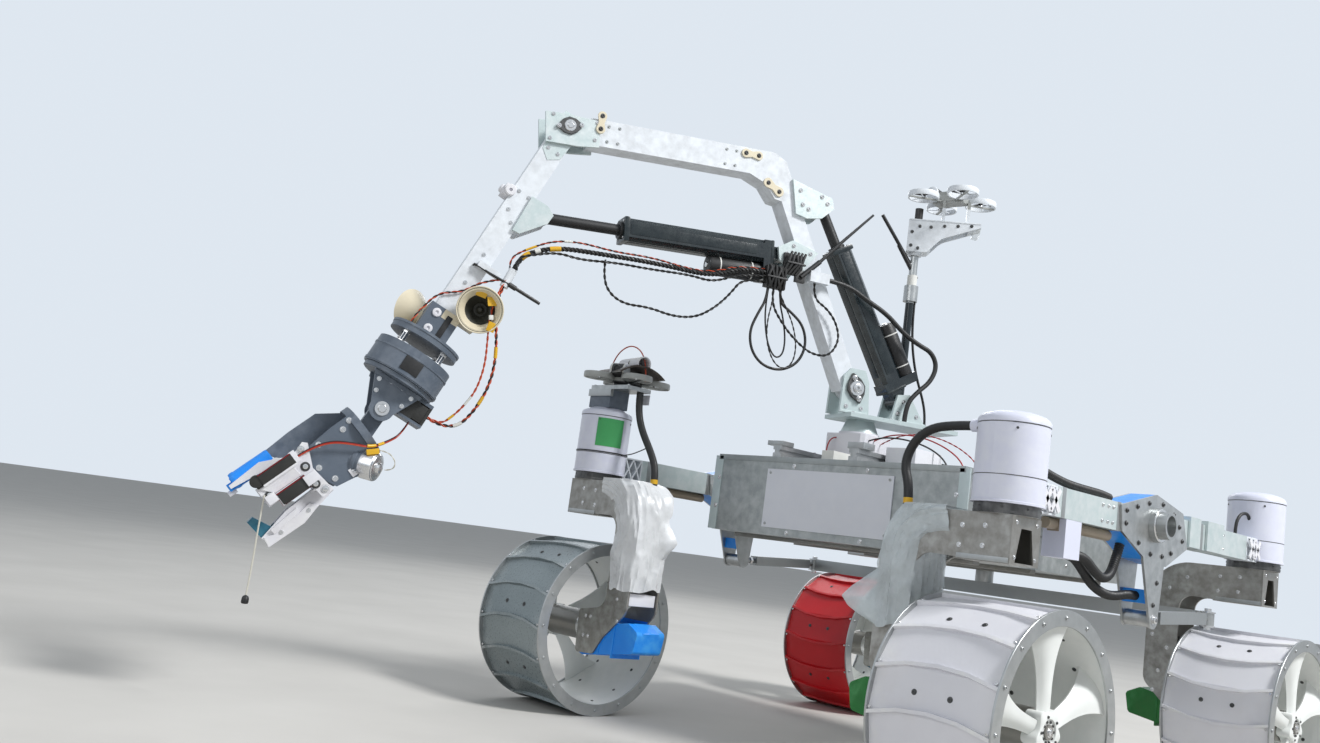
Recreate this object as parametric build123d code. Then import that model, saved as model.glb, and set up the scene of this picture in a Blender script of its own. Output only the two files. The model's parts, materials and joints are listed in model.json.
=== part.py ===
from build123d import *
import os
from math import asin, atan2, cos, degrees, hypot, pi, radians, sin, tan

# Planetary rover prototype: four steered wheels on two rocker frames, a box chassis,
# and a turret-mounted arm with two linear actuators, a wrist and a gripper.
# Millimetres. +X forward, +Y left, +Z up, origin on the ground midway between the wheels.

# Wheels
WHEEL_R = 160.0
WHEEL_W = 190.0
WHEELBASE = 890.0
TRACK = 916.0
RING_T = 3.0
RING_DEPTH = 21.5
LINER_DEPTH = 14.0
LINER_T = 4.0
TREAD_SET = 5.0
GROUSERS = 16
GROUSER_T = 5.0
GROUSER_BOW = 14.0
SPOKES = 5
SPOKE_T = 5.0
SPOKE_TWIST = 24.0
SPOKE_INSET = 20.0
SPOKE_ROOT_W = 20.0
SPOKE_WAIST_W = 25.0
SPOKE_TIP_LEAD = 34.0
SPOKE_TIP_TRAIL = 28.0
HUB_R = 24.0
HUB_T = 24.0
HUB_LOBE_R = 9.0
SHAFT_R = 10.0
SHAFT_FIT = 0.05
SEAT_GAP = 0.3

# Forks, drives and steering cans
STEER_INSET = 7.0
TYRE_CLEARANCE = 50.0
LIMB_CLEARANCE = 30.0
LIMB_W = 61.0
FORK_BOX_H = 67.0
FORK_GAP = 68.0
FORK_PLATE_T = 4.0
FORK_SHEET_T = 3.0
FORK_OUTBOARD = 33.0
FORK_SHOULDER_R = 80.0
SPACER_R = 5.0
DRIVE_R = 28.0
DRIVE_REACH = 54.0
COVER_REACH = 213.0
CAN_R = 50.0
CAN_H = 118.0
CAN_RIM_R = 44.0
CAN_CROWN_R = 30.0
CAN_DOME = 12.0
TURNTABLE_R = 46.0
TURNTABLE_H = 15.0
SOCKET_R = 8.0
SOCKET_H = 32.0

# Rockers
BEAM_Y = 453.0
BEAM_W = 40.0
BEAM_H = 44.0
BEAM_RISE = 19.0
BEAM_WALL = 3.0
LATTICE_L = 45.0
LATTICE_RIB = 3.0
LATTICE_CELLS = 2
CLAMP_T = 4.0
CLAMP_CAP_T = 7.0
BRACE_R = 8.5
PIVOT_X = 35.0
PIVOT_R = 22.0
PIVOT_REACH = 25.0
PLATE_T = 4.0
CORE_SLOT = 62.0
FOOT_X = 21.0
LEG_L = 151.0
LEG_TOP_W = 80.0
FOOT_R = 15.0
LEG_SPACER_H = 22.0

# Differential
BAR_X = -247.0
BAR_DROP = 43.0
BAR_SIDE = 26.0
LINK_SIDE = 20.0
BALL_R = 11.0
EYE_R = 13.0

# Chassis
CHASSIS_L = 574.0
CHASSIS_W = 554.0
CHASSIS_H = 143.0
CHASSIS_DROP = 95.0
PANEL_T = 2.0
DECK_T = 3.0
RAIL = 20.0
DECK_RAIL_L = 300.0
DECK_RAIL_H = 22.0
DECK_RAILS_Y = (-132.0, 47.0)
RAIL_GROOVE = 6.0

# Turret
TURRET_X = 160.0
TURRET_Y = -45.0
ARM_YAW = -22.0
HOUSING_SIDE = 90.0
HOUSING_H = 61.0
TURRET_DISC_R = 38.0
TURRET_DISC_T = 5.0
CONE_TOP_R = 26.0
CONE_H = 23.7
PLATFORM_T = 8.0
PLATFORM_W = 100.0
PLATFORM_FRONT = 50.0
PLATFORM_REAR = -185.0

# Arm, in its own upright plane: (distance ahead of the turret axis, height above the platform)
SHOULDER = (34.0, 48.0)
COLUMN_TOP = (214.0, 378.0)
BOOM_START = (302.0, 431.5)
BOOM_END = (612.0, 408.5)
ELBOW = (652.0, 406.0)
LIFT_BASE = (-73.0, 40.0)
LIFT_EYE = (137.0, 385.0)
CURL_BASE = (208.0, 273.0)
CURL_EYE = (668.0, 241.0)
COLUMN_W = 35.0
BOOM_H = 48.0
ARM_T = 42.0
TUBE_WALL = 3.0
SIDE_T = 6.0
SIDE_GAP = 0.5
FOREARM_TILT = 23.5
FOREARM_W = 41.0
FOREARM_L = 445.0
FOREARM_HOLES_AT = (279.0, 337.0)
FOREARM_HOLE_R = 3.0
ACTUATOR_SIDE = 42.0
ACTUATOR_CHAMFER = 7.0
ACTUATOR_BODY_L = 288.0
ACTUATOR_ROD_R = 10.0
ACTUATOR_MOTOR_R = 17.0
ACTUATOR_MOTOR_L = 104.0
PIN_R = 6.0
PIN_FIT = 0.05

# Wrist and hand
FLANGE_R = 61.0
FLANGE_AT = 450.0
FLANGE_T = 12.0
SLEEVE_L = 55.0
SLEEVE_SIDE = 56.0
STANDOFF_L = 22.0
STANDOFF_R = 5.0
DRUM_R = 66.0
DRUM_T = 48.0
HORN_R = 38.0
HORN_L = 40.0
HORN_NECK_R = 9.0
HORN_WALL = 2.5
PITCH_AT = 590.0
YOKE_T = 8.0
YOKE_ARM = 29.0
YOKE_ARM_T = 6.0
YOKE_EYE_R = 20.0
HAND_TILT = 45.0
HAND_ORIGIN = (909.0, -182.0)
HAND_PLATE_R = 44.0
HAND_MOTOR_R = 22.0
HAND_MOTOR_L = 78.0
CHEEK_AT = 30.0
CHEEK_T = 6.0
GRIPPER_AT = 41.0
GRIPPER_T = 5.0
SERVO_OUT = 15.0
LOWER_PIVOT = (96.0, -34.0)
UPPER_PIVOT = (130.0, 41.0)

# Mast and the two small quadrotors
MAST_S = -103.0
MAST_N = -38.0
MAST_R = 8.0
MAST_H = 446.0
GUSSET_AT = 353.0
GUSSET_H = 66.0
GUSSET_L = 122.0
GUSSET_W = 36.0
GUSSET_HEADING = 148.6
DRONE_POST_H = 50.0
ROTOR_SPAN = 42.0
DUCT_R = 30.0
DUCT_T = 2.4
DUCT_H = 9.0
ROTOR_R = 21.5
ROTOR_HUB_R = 4.0
MAST_DRONE_HEADING = -59.5
STRAPPED_DRONE_HEADING = 22.5
STRAPPED_PEDESTAL_H = 36.0

# Cables
CABLE_R = 4.5
THIN_CABLE_R = 2.5
WRIST_CABLE_R = 3.0
CONDUIT_R = 7.0
HOSE_R = 7.5
TIE_BLOCK = 40.0
TIE_T = 14.0
TIE_BAND_AT = 190.0
TIE_BAND_H = 20.0

CORNERS = (
    # name, fore-aft sign, left-right sign, conduit socket ahead of the steering axis or None
    ("fl", 1, 1, 25.0),
    ("fr", 1, -1, -15.0),
    ("rl", -1, 1, None),
    ("rr", -1, -1, None),
)

# Heights and stations that follow from the sizes above
box_bottom = 2 * WHEEL_R + TYRE_CLEARANCE
fork_top = box_bottom + FORK_BOX_H
can_bottom = fork_top + TURNTABLE_H
can_top = can_bottom + CAN_H
beam_z = can_bottom + BEAM_RISE
chassis_bottom = beam_z - CHASSIS_DROP
chassis_top = chassis_bottom + CHASSIS_H
deck_top = chassis_top + DECK_T
housing_top = deck_top + HOUSING_H
platform_bottom = housing_top + TURRET_DISC_T + SEAT_GAP + CONE_H
platform_top = platform_bottom + PLATFORM_T
foot_z = beam_z - LEG_L
bar_z = chassis_bottom - BAR_DROP
axle_x = WHEELBASE / 2
wheel_y = TRACK / 2
steer_y = wheel_y - STEER_INSET

os.makedirs("parts", exist_ok=True)


def save(name, *solids):
    """Write one sub-part: a single solid, or several that don't touch."""
    flat = []
    for solid in solids:
        flat.extend(solid.solids())
    shape = flat[0] if len(flat) == 1 else Compound(children=flat)
    export_step(shape, f"parts/{name}.step")


def block(x0, x1, y0, y1, z0, z1):
    """A box between two values on each axis."""
    size = (x1 - x0, y1 - y0, z1 - z0)
    centre = ((x0 + x1) / 2, (y0 + y1) / 2, (z0 + z1) / 2)
    return Pos(*centre) * Box(*size)


def rod_x(x0, x1, y, z, r):
    return Pos((x0 + x1) / 2, y, z) * Rot(0, 90, 0) * Cylinder(r, x1 - x0)


def rod_y(y0, y1, x, z, r):
    return Pos(x, (y0 + y1) / 2, z) * Rot(90, 0, 0) * Cylinder(r, y1 - y0)


def rod_z(z0, z1, x, y, r):
    return Pos(x, y, (z0 + z1) / 2) * Cylinder(r, z1 - z0)


def slab_y(points, y0, y1):
    """An outline in X and Z, extruded along Y."""
    edge = Polyline(*[(x, y0, z) for x, z in points], close=True)
    return extrude(make_face(edge), amount=y1 - y0, dir=(0, 1, 0))


def slab_x(corners, x0, x1):
    """An outline of (y, z, corner radius), extruded along X."""
    points = [(x0, y, z) for y, z, r in corners]
    edge = FilletPolyline(*points, radius=[r for y, z, r in corners], close=True)
    return extrude(make_face(edge), amount=x1 - x0, dir=(1, 0, 0))


def mirrored(shape, side):
    """The left-hand shape, or its mirror image for the right-hand side."""
    return shape if side > 0 else mirror(shape, about=Plane.XZ)


def along(start, end):
    """A frame at start, its X axis towards end, for work in the arm's upright plane."""
    rise = end[1] - start[1]
    run = end[0] - start[0]
    return Location((start[0], 0, start[1]), (0, degrees(atan2(-rise, run)), 0))


def span(start, end):
    return hypot(end[0] - start[0], end[1] - start[1])


def toward(start, end, r):
    """A rod between two points in space."""
    line = Line(start, end)
    section = Plane(origin=line @ 0, z_dir=line % 0) * Circle(r)
    return extrude(section, amount=line.length)


def cable(name, r, points):
    """A tube along straight runs joined by arcs as large as the runs allow."""
    route = [Vector(*p) for p in points]
    radii = []
    for before, at, after in zip(route, route[1:], route[2:]):
        turn = radians((at - before).get_angle(after - at))
        radii.append(0.45 * min((at - before).length, (after - at).length) / tan(turn / 2))
    path = FilletPolyline(*points, radius=radii)
    section = Plane(origin=path @ 0, z_dir=path % 0) * Circle(r)
    tube = sweep(section, path=path)
    share = tube.volume / (pi * r * r * path.length)
    print(f"{name}: length {path.length:.0f}, smallest radius {min(radii):.0f}, volume share {share:.4f}")
    return tube


ARM = Location((TURRET_X, TURRET_Y, platform_top), (0, 0, ARM_YAW))


# Wheels: a segmented tread with bowed grousers, and the drum with side rings, spokes and hub

half_drum = WHEEL_W / 2 - RING_T
liner_r = WHEEL_R - LINER_DEPTH
liner_inner_r = liner_r - LINER_T
hub_y = half_drum - SPOKE_INSET
facet = pi / GROUSERS


def wheel_tread(bow_sign):
    outer_r = WHEEL_R - TREAD_SET
    inner_r = (liner_r + SEAT_GAP) / cos(facet)
    hoop = RegularPolygon(outer_r, GROUSERS) - RegularPolygon(inner_r, GROUSERS)
    tread = Rot(90, 0, 0) * extrude(hoop, amount=half_drum, both=True)
    half_width = (GROUSER_BOW + GROUSER_T) / 2
    root_r = (outer_r - half_width * tan(facet) + inner_r) / 2
    tip_r = WHEEL_R * cos(asin(half_width / WHEEL_R)) - SEAT_GAP
    stations = (
        # share of the half width along the axle, share of half the bow
        (-1.0, -1.0),
        (-0.5, 0.5),
        (0.0, 1.0),
        (0.5, 0.5),
        (1.0, -1.0),
    )
    front = [(u * half_drum, v * GROUSER_BOW / 2 + GROUSER_T / 2) for u, v in stations]
    back = [(u, v - GROUSER_T) for u, v in reversed(front)]
    bar = extrude(make_face(Polyline(*front, *back, close=True)), amount=tip_r - root_r)
    for i in range(GROUSERS):
        facing = Rot(0, i * 360 / GROUSERS, 0) * Pos(0, 0, root_r) * Rot(0, 0, 90 * bow_sign)
        tread += facing * bar
    return tread


def wheel_spoke():
    root_x = HUB_R - HUB_LOBE_R / 2
    waist_x = liner_inner_r * 0.6
    tip_x = liner_inner_r + LINER_T / 2
    lead = ThreePointArc((root_x, SPOKE_ROOT_W / 2), (waist_x, SPOKE_WAIST_W / 2), (tip_x, SPOKE_TIP_LEAD))
    trail = ThreePointArc((root_x, -SPOKE_ROOT_W / 2), (waist_x, -SPOKE_WAIST_W / 2), (tip_x, -SPOKE_TIP_TRAIL))
    outline = [lead, trail, Line(lead @ 0, trail @ 0), Line(lead @ 1, trail @ 1)]
    blade = extrude(make_face(outline), amount=SPOKE_T / 2, both=True)
    return Rot(90, 0, 0) * (Rot(SPOKE_TWIST, 0, 0) * blade)


def wheel_spider():
    spider = rod_y(-half_drum, half_drum, 0, 0, liner_r) - rod_y(-half_drum, half_drum, 0, 0, liner_inner_r)
    spoke = wheel_spoke()
    for i in range(SPOKES):
        placed = Pos(0, hub_y, 0) * Rot(0, 90 + i * 360 / SPOKES, 0) * spoke
        spider += placed & rod_y(-half_drum, half_drum, 0, 0, liner_inner_r + LINER_T / 2)
    hub = rod_y(hub_y - HUB_T / 2, hub_y + HUB_T / 2, 0, 0, HUB_R)
    for i in range(SPOKES):
        angle = radians((i + 0.5) * 360 / SPOKES)
        at = (HUB_R * cos(angle), HUB_R * sin(angle))
        hub += rod_y(hub_y - HUB_T / 2, hub_y + HUB_T / 2, at[0], at[1], HUB_LOBE_R)
    spider += hub
    for y0 in (-WHEEL_W / 2, half_drum):
        spider += rod_y(y0, y0 + RING_T, 0, 0, WHEEL_R) - rod_y(y0, y0 + RING_T, 0, 0, WHEEL_R - RING_DEPTH)
    return spider - rod_y(0, half_drum, 0, 0, SHAFT_R + SHAFT_FIT)


spider = wheel_spider()
for name, fore, side, socket in CORNERS:
    centre = Pos(fore * axle_x, side * wheel_y, WHEEL_R)
    save(f"tread_{name}", centre * wheel_tread(fore))
    save(f"spider_{name}", centre * mirrored(spider, side))


# Forks: two C-shaped plates round a box, with the wheel drive between their feet

limb_near = STEER_INSET - WHEEL_W / 2 - LIMB_CLEARANCE
limb_far = limb_near - LIMB_W
web = (limb_far + limb_near) / 2
socket_z = box_bottom + FORK_BOX_H / 2


def fork():
    foot_top = WHEEL_R + SHAFT_R * 3.2
    outline = (
        # inboard distance is negative, height, corner radius
        (FORK_OUTBOARD, box_bottom, 0),
        (FORK_OUTBOARD, fork_top, 0),
        (limb_far, fork_top, FORK_SHOULDER_R),
        (limb_far, WHEEL_R + 40, 30),
        (limb_near - 4, WHEEL_R - 12, 30),
        (limb_near + 18, WHEEL_R - 44, 12),
        (-DRIVE_REACH + 4, WHEEL_R - 47, 8),
        (-DRIVE_REACH + 8, foot_top, 6),
        (limb_near, foot_top + 12, 28),
        (limb_near, box_bottom + 4, 26),
    )
    inner = FORK_GAP / 2
    outer = inner + FORK_PLATE_T
    body = slab_x(outline, inner, outer) + slab_x(outline, -outer, -inner)
    sheet_end = limb_near + LIMB_W
    body += block(-inner, inner, sheet_end, FORK_OUTBOARD, fork_top - FORK_SHEET_T, fork_top)
    body += block(-inner, inner, sheet_end, FORK_OUTBOARD, box_bottom, box_bottom + FORK_SHEET_T)
    body += rod_x(-inner, inner, web, box_bottom + FORK_BOX_H / 2, SPACER_R)
    body += rod_x(-inner, inner, web, WHEEL_R + 70, SPACER_R)
    end = block(-inner, inner, FORK_OUTBOARD - FORK_SHEET_T, FORK_OUTBOARD, box_bottom, fork_top)
    opening = (
        (-0.72 * inner, box_bottom + FORK_SHEET_T),
        (0.72 * inner, box_bottom + FORK_SHEET_T),
        (0.4 * inner, fork_top - 0.25 * FORK_BOX_H),
        (-0.4 * inner, fork_top - 0.25 * FORK_BOX_H),
    )
    body += end - slab_y(opening, FORK_OUTBOARD - 2 * FORK_SHEET_T, FORK_OUTBOARD + FORK_SHEET_T)
    return body + rod_z(fork_top, can_bottom - SEAT_GAP, 0, 0, TURNTABLE_R)


def drive():
    inner = FORK_GAP / 2
    reach = -DRIVE_REACH
    cover = (
        # inboard distance is negative, height, corner radius
        (reach, WHEEL_R - 46, 0),
        (reach - 13, WHEEL_R - 50, 0),
        (7 - COVER_REACH, WHEEL_R - 28, 8),
        (-COVER_REACH, WHEEL_R + 10, 8),
        (29 - COVER_REACH, WHEEL_R + 24, 8),
        (60 - COVER_REACH, WHEEL_R + 18, 10),
        (reach, WHEEL_R + 18, 0),
    )
    body = slab_x(cover, -inner, inner)
    hub_face = STEER_INSET + hub_y - HUB_T / 2
    body += rod_y(reach, hub_face - SEAT_GAP, 0, WHEEL_R, DRIVE_R)
    return body + rod_y(reach, hub_face + HUB_T, 0, WHEEL_R, SHAFT_R)


for name, fore, side, socket in CORNERS:
    base = Pos(fore * axle_x, side * steer_y, 0)
    body = fork() + drive()
    if socket is not None:
        body += block(-FORK_GAP / 2, FORK_GAP / 2, web - 10, web + 10, socket_z - 8, socket_z + 8)
        body += rod_z(socket_z, socket_z + SOCKET_H, socket, web, SOCKET_R)
    save(f"fork_{name}", base * mirrored(body, side))


# Steering cans with their lattice brackets, the braces under the front beams and the beam clamps

beam_bottom = beam_z - BEAM_H / 2
beam_top = beam_z + BEAM_H / 2
beam_end = axle_x - CAN_R - LATTICE_L


def steering_can(socket):
    rim_z = can_top + CAN_DOME / 2
    can = rod_z(can_bottom, can_top, 0, 0, CAN_R)
    can += Pos(0, 0, (can_top + rim_z) / 2) * Cone(CAN_R, CAN_RIM_R, CAN_DOME / 2)
    can += Pos(0, 0, rim_z + CAN_DOME / 4) * Cone(CAN_RIM_R, CAN_CROWN_R, CAN_DOME / 2)
    return can


def lattice_bracket():
    """Between a can and its beam: crossed ribs in upright cells, seen from the side."""
    start = -CAN_R - LATTICE_L
    body = block(start, -CAN_R + 5, -BEAM_W / 2, BEAM_W / 2, -BEAM_H / 2, BEAM_H / 2)
    cell = (LATTICE_L - LATTICE_RIB) / LATTICE_CELLS
    half = cell / 2
    high = BEAM_H / 2 - LATTICE_RIB
    rib = LATTICE_RIB * 0.8
    for i in range(LATTICE_CELLS):
        middle = start + LATTICE_RIB + (i + 0.5) * cell
        for sign in (1, -1):
            top = ((middle - half + rib, sign * high), (middle + half - rib, sign * high), (middle, sign * rib))
            body -= slab_y(top, -BEAM_W / 2 - 1, BEAM_W / 2 + 1)
    for i in range(LATTICE_CELLS + 1):
        post = start + LATTICE_RIB + i * cell
        left = post if i == 0 else post - half + rib
        right = post if i == LATTICE_CELLS else post + half - rib
        diamond = [(left, 0), (post, high - rib), (right, 0), (post, rib - high)]
        if i in (0, LATTICE_CELLS):
            diamond = [p for p in diamond if p != (post, 0)]
        body -= slab_y(diamond, -BEAM_W / 2 - 1, BEAM_W / 2 + 1)
    return body


def beam_clamp(x0, x1):
    """A saddle over a rear beam, in the left-hand rocker's frame."""
    y0 = BEAM_Y - BEAM_W / 2 - SEAT_GAP
    y1 = BEAM_Y + BEAM_W / 2 + SEAT_GAP
    z0 = beam_top + SEAT_GAP
    saddle = block(x0, x1, y0 - CLAMP_T, y1 + CLAMP_T, z0, z0 + CLAMP_CAP_T)
    saddle += block(x0, x1, y1, y1 + CLAMP_T, beam_bottom, z0)
    return saddle + block(x0, x1, y0 - CLAMP_T, y0, beam_bottom, z0)


def front_brace():
    """The round tube under a front beam, in its hanger."""
    z = beam_bottom - SEAT_GAP - BRACE_R
    brace = rod_x(PIVOT_X + 117, beam_end - 6, BEAM_Y, z, BRACE_R)
    hanger_x = beam_end - 55
    return brace + block(hanger_x - 23, hanger_x + 23, BEAM_Y - 16, BEAM_Y + 20, z - 48, beam_bottom - SEAT_GAP)


cans = []
for name, fore, side, socket in CORNERS:
    base = Pos(fore * axle_x, side * steer_y, 0)
    bracket = Pos(0, BEAM_Y - steer_y, beam_z) * lattice_bracket()
    bracket -= rod_z(can_bottom - BEAM_H, can_top, 0, 0, CAN_R - 1)
    if fore < 0:
        bracket = mirror(bracket, about=Plane.YZ)
    body = steering_can(socket) + bracket
    if name == "fl":
        gland = rod_y(-CAN_R - 6, 0, 17, can_top - 9, CONDUIT_R + 2)
        body += gland
    cans.append(base * mirrored(body, side))
clamps = []
for side in (1, -1):
    clamps.append(mirrored(front_brace(), side))
    for x0, x1 in ((-136, -94), (-233, -165)):
        clamps.append(mirrored(beam_clamp(x0, x1), side))
save("steering_cans", *cans, *clamps)


# Rockers: box beams, seven-sided plates that run down into a leg, and a spacer core

HEPTAGON = ((123, 19), (3, 49), (-98, 30), (-122, -27), (-46, -63), (29, -58), (115, -22))


def rocker():
    y0 = BEAM_Y - BEAM_W / 2
    y1 = BEAM_Y + BEAM_W / 2
    beams = []
    for fore, slot_reach in ((1, 119), (-1, 98)):
        inner_x = PIVOT_X + fore * (slot_reach - CORE_SLOT)
        x0 = min(inner_x, fore * beam_end)
        x1 = max(inner_x, fore * beam_end)
        tube = block(x0, x1, y0, y1, beam_bottom, beam_top)
        wall = BEAM_WALL
        tube -= block(x0, x1, y0 + wall, y1 - wall, beam_bottom + wall, beam_top - wall)
        beams.append(tube)
    outline = [(PIVOT_X + x, beam_z + z) for x, z in HEPTAGON]
    leg = (
        (PIVOT_X - LEG_TOP_W / 2, beam_z - 50),
        (PIVOT_X + LEG_TOP_W / 2, beam_z - 50),
        (FOOT_X + FOOT_R, foot_z),
        (FOOT_X - FOOT_R, foot_z),
    )
    plates = []
    for start in (y1, y0 - PLATE_T):
        plate = slab_y(outline, start, start + PLATE_T) + slab_y(leg, start, start + PLATE_T)
        plate += rod_y(start, start + PLATE_T, FOOT_X, foot_z, FOOT_R)
        plates.append(plate - rod_y(start, start + PLATE_T, PIVOT_X, beam_z, PIVOT_R))
    core = slab_y(outline, y0, y1)
    for fore, slot_reach in ((1, 119), (-1, 98)):
        slot_x = PIVOT_X + fore * (slot_reach - CORE_SLOT)
        far_x = PIVOT_X + fore * 130
        core -= block(min(slot_x, far_x), max(slot_x, far_x), y0, y1, beam_bottom, beam_top)
    core -= rod_y(y0, y1, PIVOT_X, beam_z, PIVOT_R)
    spacer_z = foot_z + 35
    spacer = block(FOOT_X - 12, FOOT_X + 20, y0, y1, spacer_z - LEG_SPACER_H / 2, spacer_z + LEG_SPACER_H / 2)
    return beams, plates, [core, spacer]


all_beams = []
all_plates = []
all_cores = []
axles = []
wall_y = CHASSIS_W / 2
pivot_end = BEAM_Y + BEAM_W / 2 + PLATE_T + PIVOT_REACH
for side in (1, -1):
    beams, plates, cores = rocker()
    all_beams += [mirrored(b, side) for b in beams]
    all_plates += [mirrored(p, side) for p in plates]
    all_cores += [mirrored(c, side) for c in cores]
    axle = rod_y(wall_y, pivot_end, PIVOT_X, beam_z, PIVOT_R)
    axle += rod_y(wall_y, wall_y + 8, PIVOT_X, beam_z, PIVOT_R + 16)
    axle += rod_y(pivot_end - PIVOT_REACH, pivot_end - PIVOT_REACH + 9, PIVOT_X, beam_z, PIVOT_R + 6)
    axle -= rod_y(pivot_end - 14, pivot_end, PIVOT_X, beam_z, PIVOT_R - 5)
    axles.append(mirrored(axle, side))
save("rocker_beams", *all_beams)
save("rocker_plates", *all_plates)
save("rocker_cores", *all_cores)
save("pivot_axles", *axles)

# Differential: a cross bar under the chassis, and a link from each end to the foot of a leg

half_bar = BAR_SIDE / 2
bar_end = BEAM_Y - BALL_R - 4
bar = block(BAR_X - half_bar, BAR_X + half_bar, -bar_end, bar_end, bar_z - half_bar, bar_z + half_bar)
bar += rod_z(bar_z + half_bar, chassis_bottom, BAR_X, 0, 18)
for side in (1, -1):
    bar += rod_y(min(side * bar_end, side * BEAM_Y), max(side * bar_end, side * BEAM_Y), BAR_X, bar_z, 5)
    link = rod_y(side * BEAM_Y - BEAM_W / 2, side * BEAM_Y + BEAM_W / 2, FOOT_X, foot_z, EYE_R)
    knee = (-40.0, foot_z + 4)
    far = (BAR_X + 30, bar_z)
    link += Pos(0, side * BEAM_Y, 0) * toward((FOOT_X, 0, foot_z), (knee[0], 0, knee[1]), 5)
    beam = along(knee, far) * block(-4, span(knee, far) + 2, -LINK_SIDE / 2, LINK_SIDE / 2, -LINK_SIDE / 2, LINK_SIDE / 2)
    link += Pos(0, side * BEAM_Y, 0) * beam
    link += rod_x(BAR_X, far[0] + 2, side * BEAM_Y, bar_z, 5)
    link += rod_z(bar_z - BALL_R, bar_z + BALL_R, BAR_X, side * BEAM_Y, BALL_R)
    bar += link
save("differential", bar)


# Chassis: an extrusion frame, a folded tub, end panels, a deck with rails, boxes and the turret housing

half_l = CHASSIS_L / 2
half_w = CHASSIS_W / 2
in_l = half_l - PANEL_T
in_w = half_w - PANEL_T
floor_top = chassis_bottom + PANEL_T
frame = None
for sx in (1, -1):
    for sy in (1, -1):
        x0 = min(sx * in_l, sx * (in_l - RAIL))
        y0 = min(sy * in_w, sy * (in_w - RAIL))
        post = block(x0, x0 + RAIL, y0, y0 + RAIL, floor_top, chassis_top)
        frame = post if frame is None else frame + post
for z0 in (floor_top, chassis_top - RAIL):
    for sy in (1, -1):
        y0 = min(sy * in_w, sy * (in_w - RAIL))
        frame += block(-in_l, in_l, y0, y0 + RAIL, z0, z0 + RAIL)
    for x0 in (-in_l, BAR_X - RAIL / 2, in_l - RAIL):
        frame += block(x0, x0 + RAIL, -in_w, in_w, z0, z0 + RAIL)
save("chassis_frame", frame)
tub = block(-in_l, in_l, -half_w, half_w, chassis_bottom, chassis_top)
tub -= block(-in_l, in_l, -in_w, in_w, floor_top, chassis_top)
save("chassis_tub", tub)
save(
    "end_panels",
    block(in_l, half_l, -half_w, half_w, chassis_bottom, chassis_top),
    block(-half_l, -in_l, -half_w, half_w, chassis_bottom, chassis_top),
)
save("deck_panel", block(-half_l, half_l, -half_w, half_w, chassis_top, deck_top))
rails = []
for y in DECK_RAILS_Y:
    rail = block(half_l - DECK_RAIL_L, half_l, y - RAIL / 2, y + RAIL / 2, deck_top, deck_top + DECK_RAIL_H)
    for sign in (1, -1):
        groove_y = y + sign * RAIL / 2
        groove_z = deck_top + DECK_RAIL_H / 2
        half_groove = RAIL_GROOVE / 2
        rail -= block(
            -half_l, half_l, groove_y - 4, groove_y + 4, groove_z - half_groove, groove_z + half_groove
        )
    rails.append(rail)
save("deck_rails", *rails)
save(
    "electronics_boxes",
    block(20, 100, -60, 20, deck_top, deck_top + 43),
    block(-230, -70, -110, 90, deck_top, deck_top + 36),
)
half_box = HOUSING_SIDE / 2
housing = Pos(TURRET_X, TURRET_Y, 0) * block(-half_box, half_box, -half_box, half_box, deck_top, housing_top)
housing = chamfer(housing.edges().filter_by(Axis.Z), 6)
housing += rod_z(housing_top, housing_top + TURRET_DISC_T, TURRET_X, TURRET_Y, TURRET_DISC_R)
save("turret_housing", housing)


# Turret platform: a cone on the bearing, the plate, the shoulder brackets and the lift base

inner_n = ARM_T / 2 + SIDE_GAP
outer_n = inner_n + SIDE_T


def side_pair(make):
    """The same plate on both sides of the arm's plane, as make(y0, y1) builds it."""
    return make(inner_n, outer_n) + make(-outer_n, -inner_n)


platform = Pos(0, 0, -PLATFORM_T - CONE_H / 2) * Cone(TURRET_DISC_R - 2, CONE_TOP_R, CONE_H)
half_plate = PLATFORM_W / 2
platform += block(PLATFORM_REAR, PLATFORM_FRONT, -half_plate, half_plate, -PLATFORM_T, 0)
shoulder = [(SHOULDER[0] + s, z) for s, z in ((-34, 0), (28, 0), (26, 70), (12, 85), (-18, 85), (-28, 64))]
lift_foot = [(LIFT_BASE[0] + s, z) for s, z in ((-52, 0), (24, 0), (14, 52), (-12, 56))]
platform += side_pair(lambda y0, y1: slab_y(shoulder, y0, y1))
platform += side_pair(lambda y0, y1: slab_y(lift_foot, y0, y1))
window = [(SHOULDER[0] + s, z) for s, z in ((-24, 8), (-6, 8), (-22, 52))]
platform -= slab_y(window, -outer_n - 1, -inner_n + 1)
for s, z in (SHOULDER, LIFT_BASE):
    platform += rod_y(-inner_n, inner_n, s, z, PIN_R)
platform += rod_y(outer_n, outer_n + 5, SHOULDER[0], SHOULDER[1], 16.5)
for tilt in (70, 250):
    ear = (SHOULDER[0] + 19 * cos(radians(tilt)), SHOULDER[1] + 19 * sin(radians(tilt)))
    platform += rod_y(outer_n, outer_n + 5, ear[0], ear[1], 7)
save("turret_platform", ARM * platform)


# Mast with its antenna, and a small ducted quadrotor on a gusset near its top

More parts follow.
